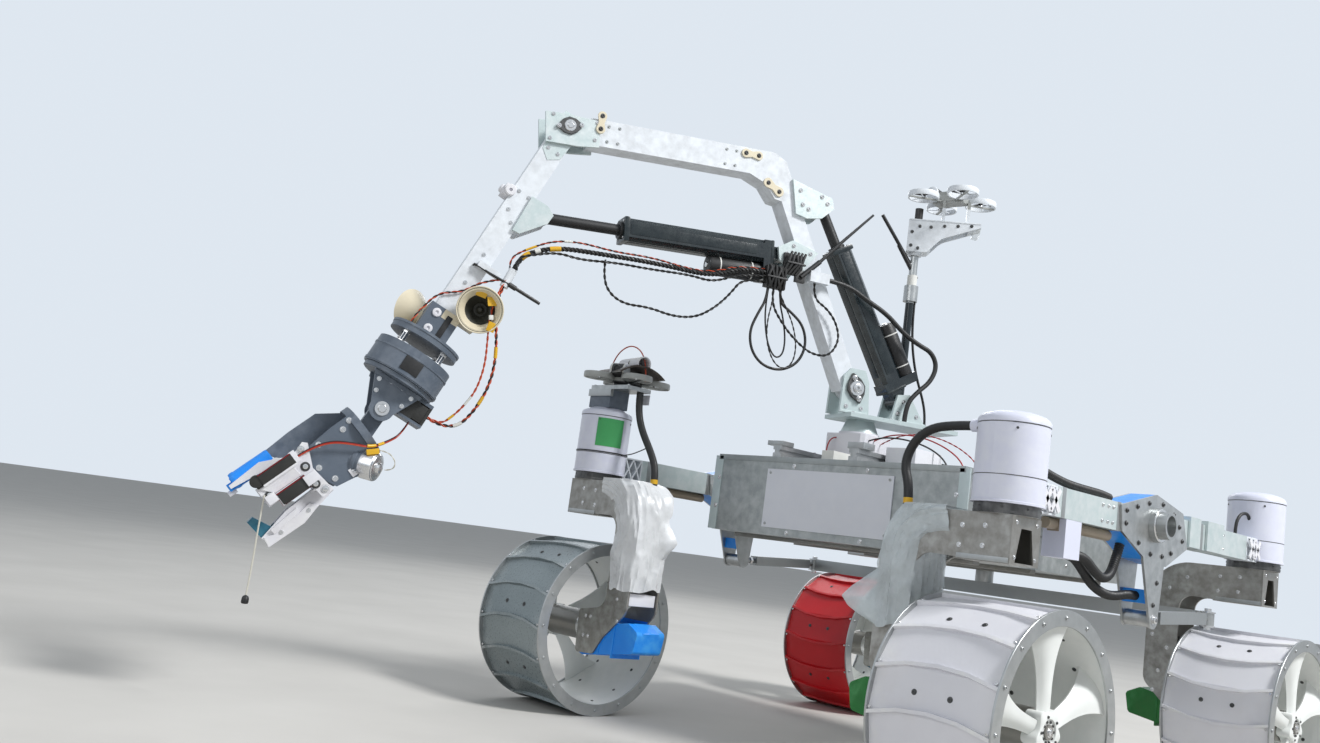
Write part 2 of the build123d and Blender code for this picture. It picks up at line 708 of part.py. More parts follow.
def quadrotor():
    """Frame of a four-duct quadrotor, its camera towards +X, the duct centres at height 0."""
    body = block(-30, 34, -15, 15, -9, 12)
    body += rod_y(-15, 15, 38, 15, 13)
    reach = hypot(ROTOR_SPAN, ROTOR_SPAN)
    for i in range(4):
        turn = Rot(0, 0, 45 + 90 * i)
        arm = turn * block(0, reach + DUCT_R - 1, -2, 2, -DUCT_H / 2 - 1.5, -DUCT_H / 2 + 1.5)
        duct = rod_z(-DUCT_H / 2, DUCT_H / 2, reach, 0, DUCT_R)
        duct -= rod_z(-DUCT_H / 2, DUCT_H / 2, reach, 0, DUCT_R - DUCT_T)
        motor = rod_z(-DUCT_H / 2, -1, reach, 0, ROTOR_HUB_R)
        body += arm
        body += turn * (duct + motor)
    return body


def rotor():
    hub = rod_z(-1 + SEAT_GAP, 4, 0, 0, ROTOR_HUB_R)
    for turn in (0, 120, 240):
        blade = Rot(0, 0, turn) * Rot(14, 0, 0) * block(0, ROTOR_R, -3, 3, -0.6, 0.6)
        hub += Pos(0, 0, 1.6) * blade
    return hub


mast = rod_z(0, MAST_H, MAST_S, MAST_N, MAST_R)
collar_z = 253.0
mast += rod_z(collar_z, collar_z + 32, MAST_S, MAST_N, MAST_R + 6)
mast += toward((MAST_S - 7, MAST_N, 312), (-20, MAST_N, 415), 3.5)
save("mast", ARM * mast)

GUSSET = Location((MAST_S, MAST_N, GUSSET_AT), (0, 0, GUSSET_HEADING))
half_gusset = GUSSET_W / 2
gusset_corners = (
    # along the heading, height, corner radius
    (-half_gusset, 0, 0),
    (half_gusset + 4, 0, 6),
    (half_gusset + 30, GUSSET_H * 0.45, 34),
    (GUSSET_L, GUSSET_H - 8, 0),
    (GUSSET_L, GUSSET_H, 0),
    (-half_gusset, GUSSET_H, 0),
)
gusset = Rot(0, 0, -90) * slab_x(gusset_corners, -half_gusset, half_gusset)
hollow = Rot(0, 0, -90) * slab_x(
    [(y, z, 0) for y, z in ((half_gusset + 12, -9), (GUSSET_L - 18, GUSSET_H - 12), (half_gusset + 8, GUSSET_H - 12))],
    -half_gusset + 3,
    half_gusset - 3,
)
gusset -= hollow
gusset -= rod_z(-1, GUSSET_H + 1, 0, 0, MAST_R + SEAT_GAP)
drone_z = GUSSET_H + DRONE_POST_H
drone_turn = MAST_DRONE_HEADING - GUSSET_HEADING
drone_at = Pos(62, 0, drone_z) * Rot(0, 0, drone_turn)
drone = gusset + drone_at * quadrotor()
for x in (48, 96):
    drone += block(x - 3, x + 3, -12, 12, GUSSET_H - 1, drone_z - 5)
save("mast_drone", ARM * GUSSET * drone)
reach = hypot(ROTOR_SPAN, ROTOR_SPAN)
for i in range(4):
    at = Rot(0, 0, 45 + 90 * i) * Pos(reach, 0, 0)
    save(f"rotor_{i + 1}", ARM * GUSSET * drone_at * at * rotor())

# The second quadrotor lies strapped on the front right steering can

STRAPPED = Location((axle_x, -steer_y, can_top + CAN_DOME))
pedestal = block(-24, 24, -32, 30, 0, STRAPPED_PEDESTAL_H)
tray_top = STRAPPED_PEDESTAL_H + 8
pedestal += block(-34, 26, -30, 82, STRAPPED_PEDESTAL_H, tray_top)
pedestal += block(-45, -5, 0, 40, tray_top, tray_top + 12)
strapped = Pos(-23, 19, tray_top + 18) * Rot(0, 0, STRAPPED_DRONE_HEADING) * quadrotor()
cover = rod_x(-62, 62, 0, -52, 78) - rod_x(-62, 62, 0, -52, 75)
cover &= block(-62, 62, -56, 56, 6, 40)
half_pipe = rod_x(-20, 62, 0, 30, 15) - rod_x(-20, 62, 0, 30, 12.5)
half_pipe &= block(-20, 62, -16, 16, 24, 50)
shell = Rot(0, 0, STRAPPED_DRONE_HEADING + 55) * (cover + half_pipe)
strapped += Pos(-23, 19, tray_top + 18) * shell
save("strapped_drone", STRAPPED * (pedestal + strapped))


# Boom: column, knee and upper tube, with the end box and the actuator brackets

def square_tube(start, end, high, wide, wall):
    length = span(start, end)
    outer = block(0, length, -wide / 2, wide / 2, -high / 2, high / 2)
    inner = block(0, length, -wide / 2 + wall, wide / 2 - wall, -high / 2 + wall, high / 2 - wall)
    return along(start, end) * (outer - inner)


column_foot = (SHOULDER[0] + 8, SHOULDER[1])
column = square_tube(column_foot, COLUMN_TOP, COLUMN_W, ARM_T, TUBE_WALL)
column += rod_y(-ARM_T / 2, ARM_T / 2, SHOULDER[0], SHOULDER[1], COLUMN_W / 2)
column -= rod_y(-ARM_T, ARM_T, SHOULDER[0], SHOULDER[1], PIN_R + PIN_FIT)
band_z = SHOULDER[1] + TIE_BAND_AT
band_s = column_foot[0] + TIE_BAND_AT * (COLUMN_TOP[0] - column_foot[0]) / (COLUMN_TOP[1] - column_foot[1])
band_rear = band_s - TIE_BLOCK / 2
column += block(
    band_rear, band_rear + TIE_BLOCK, ARM_T / 2, ARM_T / 2 + 20, band_z - TIE_BAND_H / 2, band_z + TIE_BAND_H / 2
)
save("boom_column", ARM * column)
save("boom_tube", ARM * square_tube(BOOM_START, BOOM_END, BOOM_H, ARM_T, TUBE_WALL))


def across_end(start, end, width):
    """The two corners of a tube's end face at start, for a tube that runs towards end."""
    share = width / 2 / span(start, end)
    rise = (end[1] - start[1]) * share
    run = (end[0] - start[0]) * share
    return (start[0] - rise, start[1] + run), (start[0] + rise, start[1] - run)


column_near, column_far = across_end(COLUMN_TOP, (2 * COLUMN_TOP[0] - column_foot[0], 2 * COLUMN_TOP[1] - column_foot[1]), COLUMN_W)
boom_upper, boom_lower = across_end(BOOM_START, BOOM_END, BOOM_H)
knee_outline = (
    boom_upper,
    (256, 459),
    (230, 448),
    column_near,
    column_far,
    (244, 371),
    (266, 396),
    boom_lower,
)
save("boom_knee", ARM * slab_y(knee_outline, -ARM_T / 2, ARM_T / 2))

half_arm = ARM_T / 2
end_plate = [(ELBOW[0] + s, ELBOW[1] + z) for s, z in ((-58, -25), (-52, 22), (12, 20), (46, 16), (38, -37), (-20, -32))]
rear = [(LIFT_EYE[0] + s, LIFT_EYE[1] + z) for s, z in ((77, 31), (63, -33), (39, -37), (8, -30), (-15, -7), (-9, 13), (3, 15))]
front = [(CURL_BASE[0] + s, CURL_BASE[1] + z) for s, z in ((19, 9), (-9, 27), (-64, 14), (-30, -36), (14, -15))]
brackets = []
for outline, pin_at in ((end_plate, ELBOW), (front, CURL_BASE)):
    pair = slab_y(outline, half_arm, half_arm + SIDE_T) + slab_y(outline, -half_arm - SIDE_T, -half_arm)
    brackets.append(pair + rod_y(-half_arm, half_arm, pin_at[0], pin_at[1], PIN_R))
face_n = half_arm + SIDE_T
clip_at = CURL_BASE[0] + 2
clip_z = CURL_BASE[1] - 73
clip_end = clip_at + TIE_BLOCK
brackets[1] += block(clip_at - 35, clip_at + 5, face_n, face_n + 5, clip_z + 33, clip_z + 73)
brackets[1] += block(clip_at, clip_end, face_n, face_n + TIE_T, clip_z, clip_z + TIE_BLOCK)
for y0 in (half_arm, -half_arm - SIDE_T):
    brackets.append(slab_y(rear, y0, y0 + SIDE_T))
save("boom_brackets", *[ARM * b for b in brackets])


# Linear actuators: a chamfered square body with a side motor, and a round rod with its eye

def actuator(base, eye, motor_side):
    length = span(base, eye)
    half = ACTUATOR_SIDE / 2
    start = 26.0
    body = block(start, start + ACTUATOR_BODY_L, -half, half, -half, half)
    body = chamfer(body.edges().filter_by(Axis.X), ACTUATOR_CHAMFER)
    offset = motor_side * (half + ACTUATOR_MOTOR_R)
    gearbox = block(start, start + 18, -half, half, min(-half, offset - 15), max(half, offset + 15))
    body += gearbox
    body += rod_x(start + 18, start + 18 + ACTUATOR_MOTOR_L, 0, offset, ACTUATOR_MOTOR_R)
    body += rod_y(-18, 18, 0, 0, 14) + block(0, start, -18, 18, -11, 11)
    body -= rod_x(start + 60, start + ACTUATOR_BODY_L + 1, 0, 0, ACTUATOR_ROD_R + 1)
    body -= rod_y(-20, 20, 0, 0, PIN_R + PIN_FIT)
    rod = rod_x(start + 100, length, 0, 0, ACTUATOR_ROD_R) + rod_y(-12, 12, length, 0, 12)
    place = along(base, eye)
    return place * body, place * rod


lift_body, lift_rod = actuator(LIFT_BASE, LIFT_EYE, 1)
save("lift_cylinder", ARM * lift_body)
save("lift_rod", ARM * lift_rod)
curl_body, curl_rod = actuator(CURL_BASE, CURL_EYE, -1)
save("curl_cylinder", ARM * curl_body)
save("curl_rod", ARM * curl_rod)


# Forearm with its ears, then the wrist drum with two horns

lean = radians(FOREARM_TILT)
down = (sin(lean), -cos(lean))


def forearm_point(distance):
    return (ELBOW[0] + down[0] * distance, ELBOW[1] + down[1] * distance)


FOREARM = along(ELBOW, forearm_point(1))
half_f = FOREARM_W / 2
half_t = ARM_T / 2 - 1
forearm = square_tube(ELBOW, forearm_point(FOREARM_L), FOREARM_W, half_t * 2, TUBE_WALL)
forearm += rod_y(-half_t, half_t, ELBOW[0], ELBOW[1], half_f)
forearm -= rod_y(-ARM_T, ARM_T, ELBOW[0], ELBOW[1], PIN_R + PIN_FIT)
for at in FOREARM_HOLES_AT:
    forearm -= FOREARM * rod_y(-ARM_T, ARM_T, at, 0, FOREARM_HOLE_R)
ear = [(CURL_EYE[0] + s, CURL_EYE[1] + z) for s, z in ((30, 26), (0, 15), (-12, 1), (-4, -15), (42, -43), (55, -39))]
for y0 in (half_t, -half_t - SIDE_T):
    forearm += slab_y(ear, y0, y0 + SIDE_T)
tie_from = (CURL_EYE[0] + 44, CURL_EYE[1] - 109)
tie_to = (CURL_EYE[0] + 56, CURL_EYE[1] - 141)
tie_n = half_t + 13
strap = block(293, 303, half_t, tie_n, -42, 0)
forearm += FOREARM * strap
forearm += toward((tie_from[0], tie_n, tie_from[1]), (tie_to[0], tie_n, tie_to[1]), CABLE_R + 3)
tie_l = span(tie_from, tie_to)
tie_dir = ((tie_to[0] - tie_from[0]) / tie_l, (tie_to[1] - tie_from[1]) / tie_l)
save("forearm_tube", ARM * forearm)

drum_at = FLANGE_AT + FLANGE_T + STANDOFF_L
half_sleeve = SLEEVE_SIDE / 2
wrist = rod_x(FLANGE_AT, FLANGE_AT + FLANGE_T, 0, 0, FLANGE_R)
wrist += block(FLANGE_AT - SLEEVE_L, FLANGE_AT, -half_sleeve, half_sleeve, -half_sleeve, half_sleeve)
for i in range(4):
    angle = pi / 4 + i * pi / 2
    at = ((FLANGE_R - 12) * cos(angle), (FLANGE_R - 12) * sin(angle))
    wrist += rod_x(FLANGE_AT + FLANGE_T, drum_at, at[0], at[1], STANDOFF_R)
wrist += rod_x(drum_at, drum_at + DRUM_T, 0, 0, DRUM_R)


def horn():
    """A hollow cone along +Z, its mouth at the top."""
    outer = Pos(0, 0, HORN_L / 2) * Cone(HORN_NECK_R, HORN_R, HORN_L)
    inner = Pos(0, 0, HORN_L / 2 + HORN_WALL) * Cone(HORN_NECK_R - HORN_WALL, HORN_R - HORN_WALL, HORN_L)
    return outer - inner + rod_z(-8, 2, 0, 0, HORN_NECK_R)


HORNS = (
    # neck's end (along the forearm, across, above it), direction it faces
    ((359.5, 11.0, -46.4), (0.228, 0.97, 0.097)),
    ((408.0, -26.0, 18.0), (0.153, -0.776, 0.611)),
)
for neck, facing in HORNS:
    wrist += Plane(origin=neck, z_dir=facing).location * horn()
wrist += block(352, FLANGE_AT - SLEEVE_L + 6, -6, 16, -56, -half_f - 2)
wrist -= block(FLANGE_AT - SLEEVE_L - 1, FOREARM_L, -half_t, half_t, -half_f, half_f)
save("wrist_drum", ARM * FOREARM * wrist)


# Wrist yoke: a round plate, two arms to the pitch pin and the roll servo in its frame

yoke_at = drum_at + DRUM_T + SEAT_GAP
yoke = rod_x(yoke_at, yoke_at + YOKE_T, 0, 0, FLANGE_R)
arm_outline = ((yoke_at + YOKE_T, -44), (yoke_at + YOKE_T, 44), (PITCH_AT, YOKE_EYE_R), (PITCH_AT, -YOKE_EYE_R))
for y0 in (YOKE_ARM, -YOKE_ARM - YOKE_ARM_T):
    yoke += slab_y(arm_outline, y0, y0 + YOKE_ARM_T)
    yoke += rod_y(y0, y0 + YOKE_ARM_T, PITCH_AT, 0, YOKE_EYE_R)
servo_low = yoke_at + YOKE_T + 42
yoke += block(yoke_at + YOKE_T, servo_low, -19, 21, -70, -24)
yoke -= block(yoke_at + YOKE_T + 6, servo_low - 5, 12, 22, -65, -48)
yoke += rod_y(-YOKE_ARM, YOKE_ARM, PITCH_AT, 0, PIN_R)
save("wrist_yoke", ARM * FOREARM * yoke)


# Hand: pivot lug, round plate, two cheeks and the slanting gripper motor

HAND = Location((HAND_ORIGIN[0], 0, HAND_ORIGIN[1]), (0, HAND_TILT, 0))
pitch_point = forearm_point(PITCH_AT)
lug_n = YOKE_ARM - 1
lug = rod_y(-lug_n, lug_n, pitch_point[0], pitch_point[1], 16)
lug += along(pitch_point, HAND_ORIGIN) * block(0, span(pitch_point, HAND_ORIGIN), -16, 16, -14, 14)
lug -= rod_y(-YOKE_ARM, YOKE_ARM, pitch_point[0], pitch_point[1], PIN_R + PIN_FIT)
hand = rod_x(-9, 3, 0, 6, HAND_PLATE_R)
near_cheek = ((-6, 40), (35, 39), (80, 34), (92, 8), (92, -14), (79, -42), (42, -48), (-6, -34))
far_cheek = ((-6, 44), (34, 71), (85, 71), (135, 67), (124, 47), (92, 30), (92, -14), (79, -42), (42, -48), (-6, -34))
hand += slab_y(near_cheek, CHEEK_AT, CHEEK_AT + CHEEK_T)
hand += slab_y(far_cheek, -CHEEK_AT - CHEEK_T, -CHEEK_AT)
hand += rod_y(-CHEEK_AT - CHEEK_T - 4, -CHEEK_AT, 93, 53, 14)
motor_end = (52 - 0.5 * HAND_MOTOR_L, -2 + 0.5 * HAND_MOTOR_L, 1 - 0.707 * HAND_MOTOR_L)
hand += toward((52, -2, 1), motor_end, HAND_MOTOR_R)
save("hand_frame", ARM * (HAND * hand + lug))

band = ((92, 4), (86, -42), (106, -42), (112, 4), (158, 4), (160, -8), (178, -8), (178, 25), (112, 22), (104, 38), (82, 46), (76, 40))
base_bar = block(92, 106, -GRIPPER_AT, GRIPPER_AT, -20, 24)
gripper = base_bar
for y0 in (GRIPPER_AT, -GRIPPER_AT - GRIPPER_T):
    gripper += slab_y(band, y0, y0 + GRIPPER_T)
servos = (
    # hand x from and to, z from and to
    (107, 166, 22, 42),
    (109, 160, -18, 2),
)
for x0, x1, z0, z1 in servos:
    gripper += block(x0, x1, 12, GRIPPER_AT + SERVO_OUT, z0, z1)
gripper -= rod_y(-60, 60, LOWER_PIVOT[0], LOWER_PIVOT[1], 7 + SEAT_GAP)
save("gripper_frame", ARM * HAND * gripper)

pivot_n = GRIPPER_AT - SEAT_GAP
scoop = ((88, -24), (86, -44), (150, -57), (211, -57), (214, -40), (160, -27))
lower = slab_y(scoop, 22, 28) + slab_y(scoop, -28, -22)
lower += slab_y(((130, -47), (211, -57), (211, -52), (130, -42)), -22, 22)
pin_n = GRIPPER_AT + GRIPPER_T
lower += rod_y(-pin_n, pin_n, LOWER_PIVOT[0], LOWER_PIVOT[1], 7)
lower += slab_y(((190, -40), (214, -40), (217, -8), (206, -6)), -22, 22)
save("jaw_lower", ARM * HAND * lower)
upper = rod_x(133, 200, -8, 53, 10)
upper += slab_y(((124, 38), (150, 42), (206, 48), (206, 54), (150, 58), (124, 46)), -20, 11)
upper += rod_y(-20, 11, UPPER_PIVOT[0], UPPER_PIVOT[1], 9)
upper += rod_y(-pivot_n, 11, UPPER_PIVOT[0], UPPER_PIVOT[1], 6)
save("jaw_upper", ARM * HAND * upper)


# Cables, conduits and hoses, each as points (x, y, z) of its own frame

def on_forearm(x, n, z):
    """A point of the forearm's own frame, in the arm's frame."""
    return (ELBOW[0] + sin(lean) * x + cos(lean) * z, n, ELBOW[1] - cos(lean) * x + sin(lean) * z)


def in_hand(x, n, z):
    """A point of the hand's own frame, in the arm's frame."""
    tilt = radians(HAND_TILT)
    s = HAND_ORIGIN[0] + cos(tilt) * x + sin(tilt) * z
    return (s, n, HAND_ORIGIN[1] - sin(tilt) * x + cos(tilt) * z)


cable_n = face_n + TIE_T / 2
tie_lead = 24.0
ARM_CABLES = (
    # node, radius, points (ahead of the turret axis, across, height above the platform)
    (
        "boom_cable",
        CABLE_R,
        (
            (tie_from[0], tie_n, tie_from[1]),
            (tie_from[0] - tie_lead * tie_dir[0], tie_n, tie_from[1] - tie_lead * tie_dir[1]),
            (684, 33, 170),
            (640, 33, 187),
            (566, 34, 192),
            (455, 34, 198),
            (352, 34, 196),
            (296, cable_n, clip_z + 26),
            (clip_end, cable_n, clip_z + 26),
        ),
    ),
    (
        "boom_loop",
        THIN_CABLE_R,
        (
            (555, 34, 184),
            (555, 34, 160),
            (544, 35, 130),
            (512, 36, 113),
            (465, 36, 117),
            (420, 35, 110),
            (376, 34, 116),
            (342, 35, 140),
            (316, 35, 170),
            (292, cable_n, clip_z + 8),
            (clip_end, cable_n, clip_z + 8),
        ),
    ),
    (
        "shoulder_loop_a",
        THIN_CABLE_R,
        (
            (243, 37, clip_z),
            (243, 37, 176),
            (258, 39, 146),
            (270, 40, 112),
            (262, 40, 77),
            (236, 39, 54),
            (198, 38, 51),
            (165, 38, 71),
            (152, 38, 107),
            (163, 38, 143),
            (192, 37, 164),
            (217, 37, 176),
            (217, 37, clip_z),
        ),
    ),
    (
        "shoulder_loop_b",
        THIN_CABLE_R,
        (
            (229, 31, clip_z),
            (229, 31, 172),
            (205, 31, 142),
            (174, 32, 114),
            (138, 33, 94),
            (101, 33, 96),
            (83, 33, 128),
            (90, 32, 158),
            (112, 31, 184),
            (band_s + 5, 30, 200),
            (band_s + 5, 30, band_z - TIE_BAND_H / 2),
        ),
    ),
    (
        "turret_cable",
        CABLE_R,
        (
            (band_rear, 34, band_z),
            (band_rear - 42, 34, band_z),
            (32, 35, 216),
            (-11, 36, 199),
            (-49, 37, 170),
            (-86, 38, 153),
            (-116, 39, 144),
            (-130, 40, 118),
            (-118, 41, 86),
            (-92, 41, 62),
            (-70, 41, 34),
            (-70, 41, 0),
        ),
    ),
    (
        "mast_cable",
        THIN_CABLE_R,
        (
            (MAST_S - MAST_R - 3, MAST_N, collar_z),
            (MAST_S - MAST_R - 3, MAST_N, 221),
            (-119, MAST_N, 166),
            (-134, MAST_N, 110),
            (-157, MAST_N, 62),
            (-166, MAST_N, 28),
            (-166, MAST_N, 0),
        ),
    ),
    (
        "forearm_cable",
        WRIST_CABLE_R,
        (
            (tie_to[0], tie_n, tie_to[1]),
            (tie_to[0] + tie_lead * tie_dir[0], tie_n, tie_to[1] + tie_lead * tie_dir[1]),
            (729, 33, 46),
            (721, 32, 8),
            (717, 30, -33),
            (722, 27, -74),
            (737, 22, -112),
            (758, 15, -142),
            on_forearm(servo_low - 22, 10, -95),
            on_forearm(servo_low - 22, 10, -70),
        ),
    ),
    (
        "hand_cable",
        THIN_CABLE_R,
        (
            on_forearm(servo_low, 6, -50),
            on_forearm(servo_low + 24, 6, -50),
            (866, 24, -184),
            (893, 46, -199),
            (925, 49, -198),
            (958, 51, -200),
            in_hand(83, 51, 32),
            in_hand(107, 51, 32),
        ),
    ),
)
for name, r, points in ARM_CABLES:
    tube = cable(name, r, points)
    if name == "boom_cable":
        tube += block(545, 565, cable_n - 7, cable_n + 7, 184, 200)
    save(name, ARM * tube)

front_can_y = steer_y - CAN_R - 6
hanger_rear = beam_end - 55 - 23
hanger_z = beam_bottom - SEAT_GAP - BRACE_R - 48 + HOSE_R + 0.5
lower_edge = (HEPTAGON[5], HEPTAGON[6])
edge_l = span(*lower_edge)
edge_dir = ((lower_edge[1][0] - lower_edge[0][0]) / edge_l, (lower_edge[1][1] - lower_edge[0][1]) / edge_l)
core_out = (edge_dir[1], -edge_dir[0])
core_face = (
    PIVOT_X + lower_edge[0][0] + edge_l * edge_dir[0] / 2,
    beam_z + lower_edge[0][1] + edge_l * edge_dir[1] / 2,
)
drone_tray_z = can_top + CAN_DOME + STRAPPED_PEDESTAL_H
CHASSIS_CABLES = (
    # node, radius, points (x, y, z)
    (
        "conduit_fl",
        CONDUIT_R,
        (
            (axle_x + 17, front_can_y, can_top - 9),
            (axle_x + 17, front_can_y - 31, can_top - 9),
            (axle_x + 19, 326, 556),
            (axle_x + 22, 300, 535),
            (axle_x + 24, 288, 500),
            (axle_x + 25, steer_y + web, socket_z + SOCKET_H + 30),
            (axle_x + 25, steer_y + web, socket_z + SOCKET_H),
        ),
    ),
    (
        "conduit_fr",
        CONDUIT_R,
        (
            (axle_x - 15, -steer_y + 73, drone_tray_z),
            (axle_x - 15, -steer_y + 73, drone_tray_z - 28),
            (axle_x - 15, -362, 548),
            (axle_x - 15, -322, 500),
            (axle_x - 15, -steer_y - web, socket_z + SOCKET_H + 32),
            (axle_x - 15, -steer_y - web, socket_z + SOCKET_H),
        ),
    ),
    (
        "drive_hose_a",
        HOSE_R,
        (
            (hanger_rear, BEAM_Y + 11, hanger_z),
            (hanger_rear - 32, BEAM_Y + 11, hanger_z),
            (208.7, BEAM_Y + 11, 383.5),
            (176.6, BEAM_Y + 9, 372.2),
            (145, BEAM_Y + 5, 377.5),
            (core_face[0] + 36 * core_out[0], BEAM_Y, core_face[1] + 36 * core_out[1]),
            (core_face[0], BEAM_Y, core_face[1]),
        ),
    ),
    (
        "drive_hose_b",
        HOSE_R,
        (
            (hanger_rear, BEAM_Y - 7, hanger_z),
            (hanger_rear - 32, BEAM_Y - 7, hanger_z),
            (209, BEAM_Y - 7, 383),
            (177, BEAM_Y - 7, 362),
            (139, BEAM_Y - 5, 350),
            (104, BEAM_Y - 3, 349),
            (FOOT_X + 51, BEAM_Y, foot_z + 35),
            (FOOT_X + 20, BEAM_Y, foot_z + 35),
        ),
    ),
)
for name, r, points in CHASSIS_CABLES:
    save(name, cable(name, r, points))
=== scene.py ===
import json
from collections import namedtuple
from itertools import product
from math import cos, hypot, pi, radians, sin

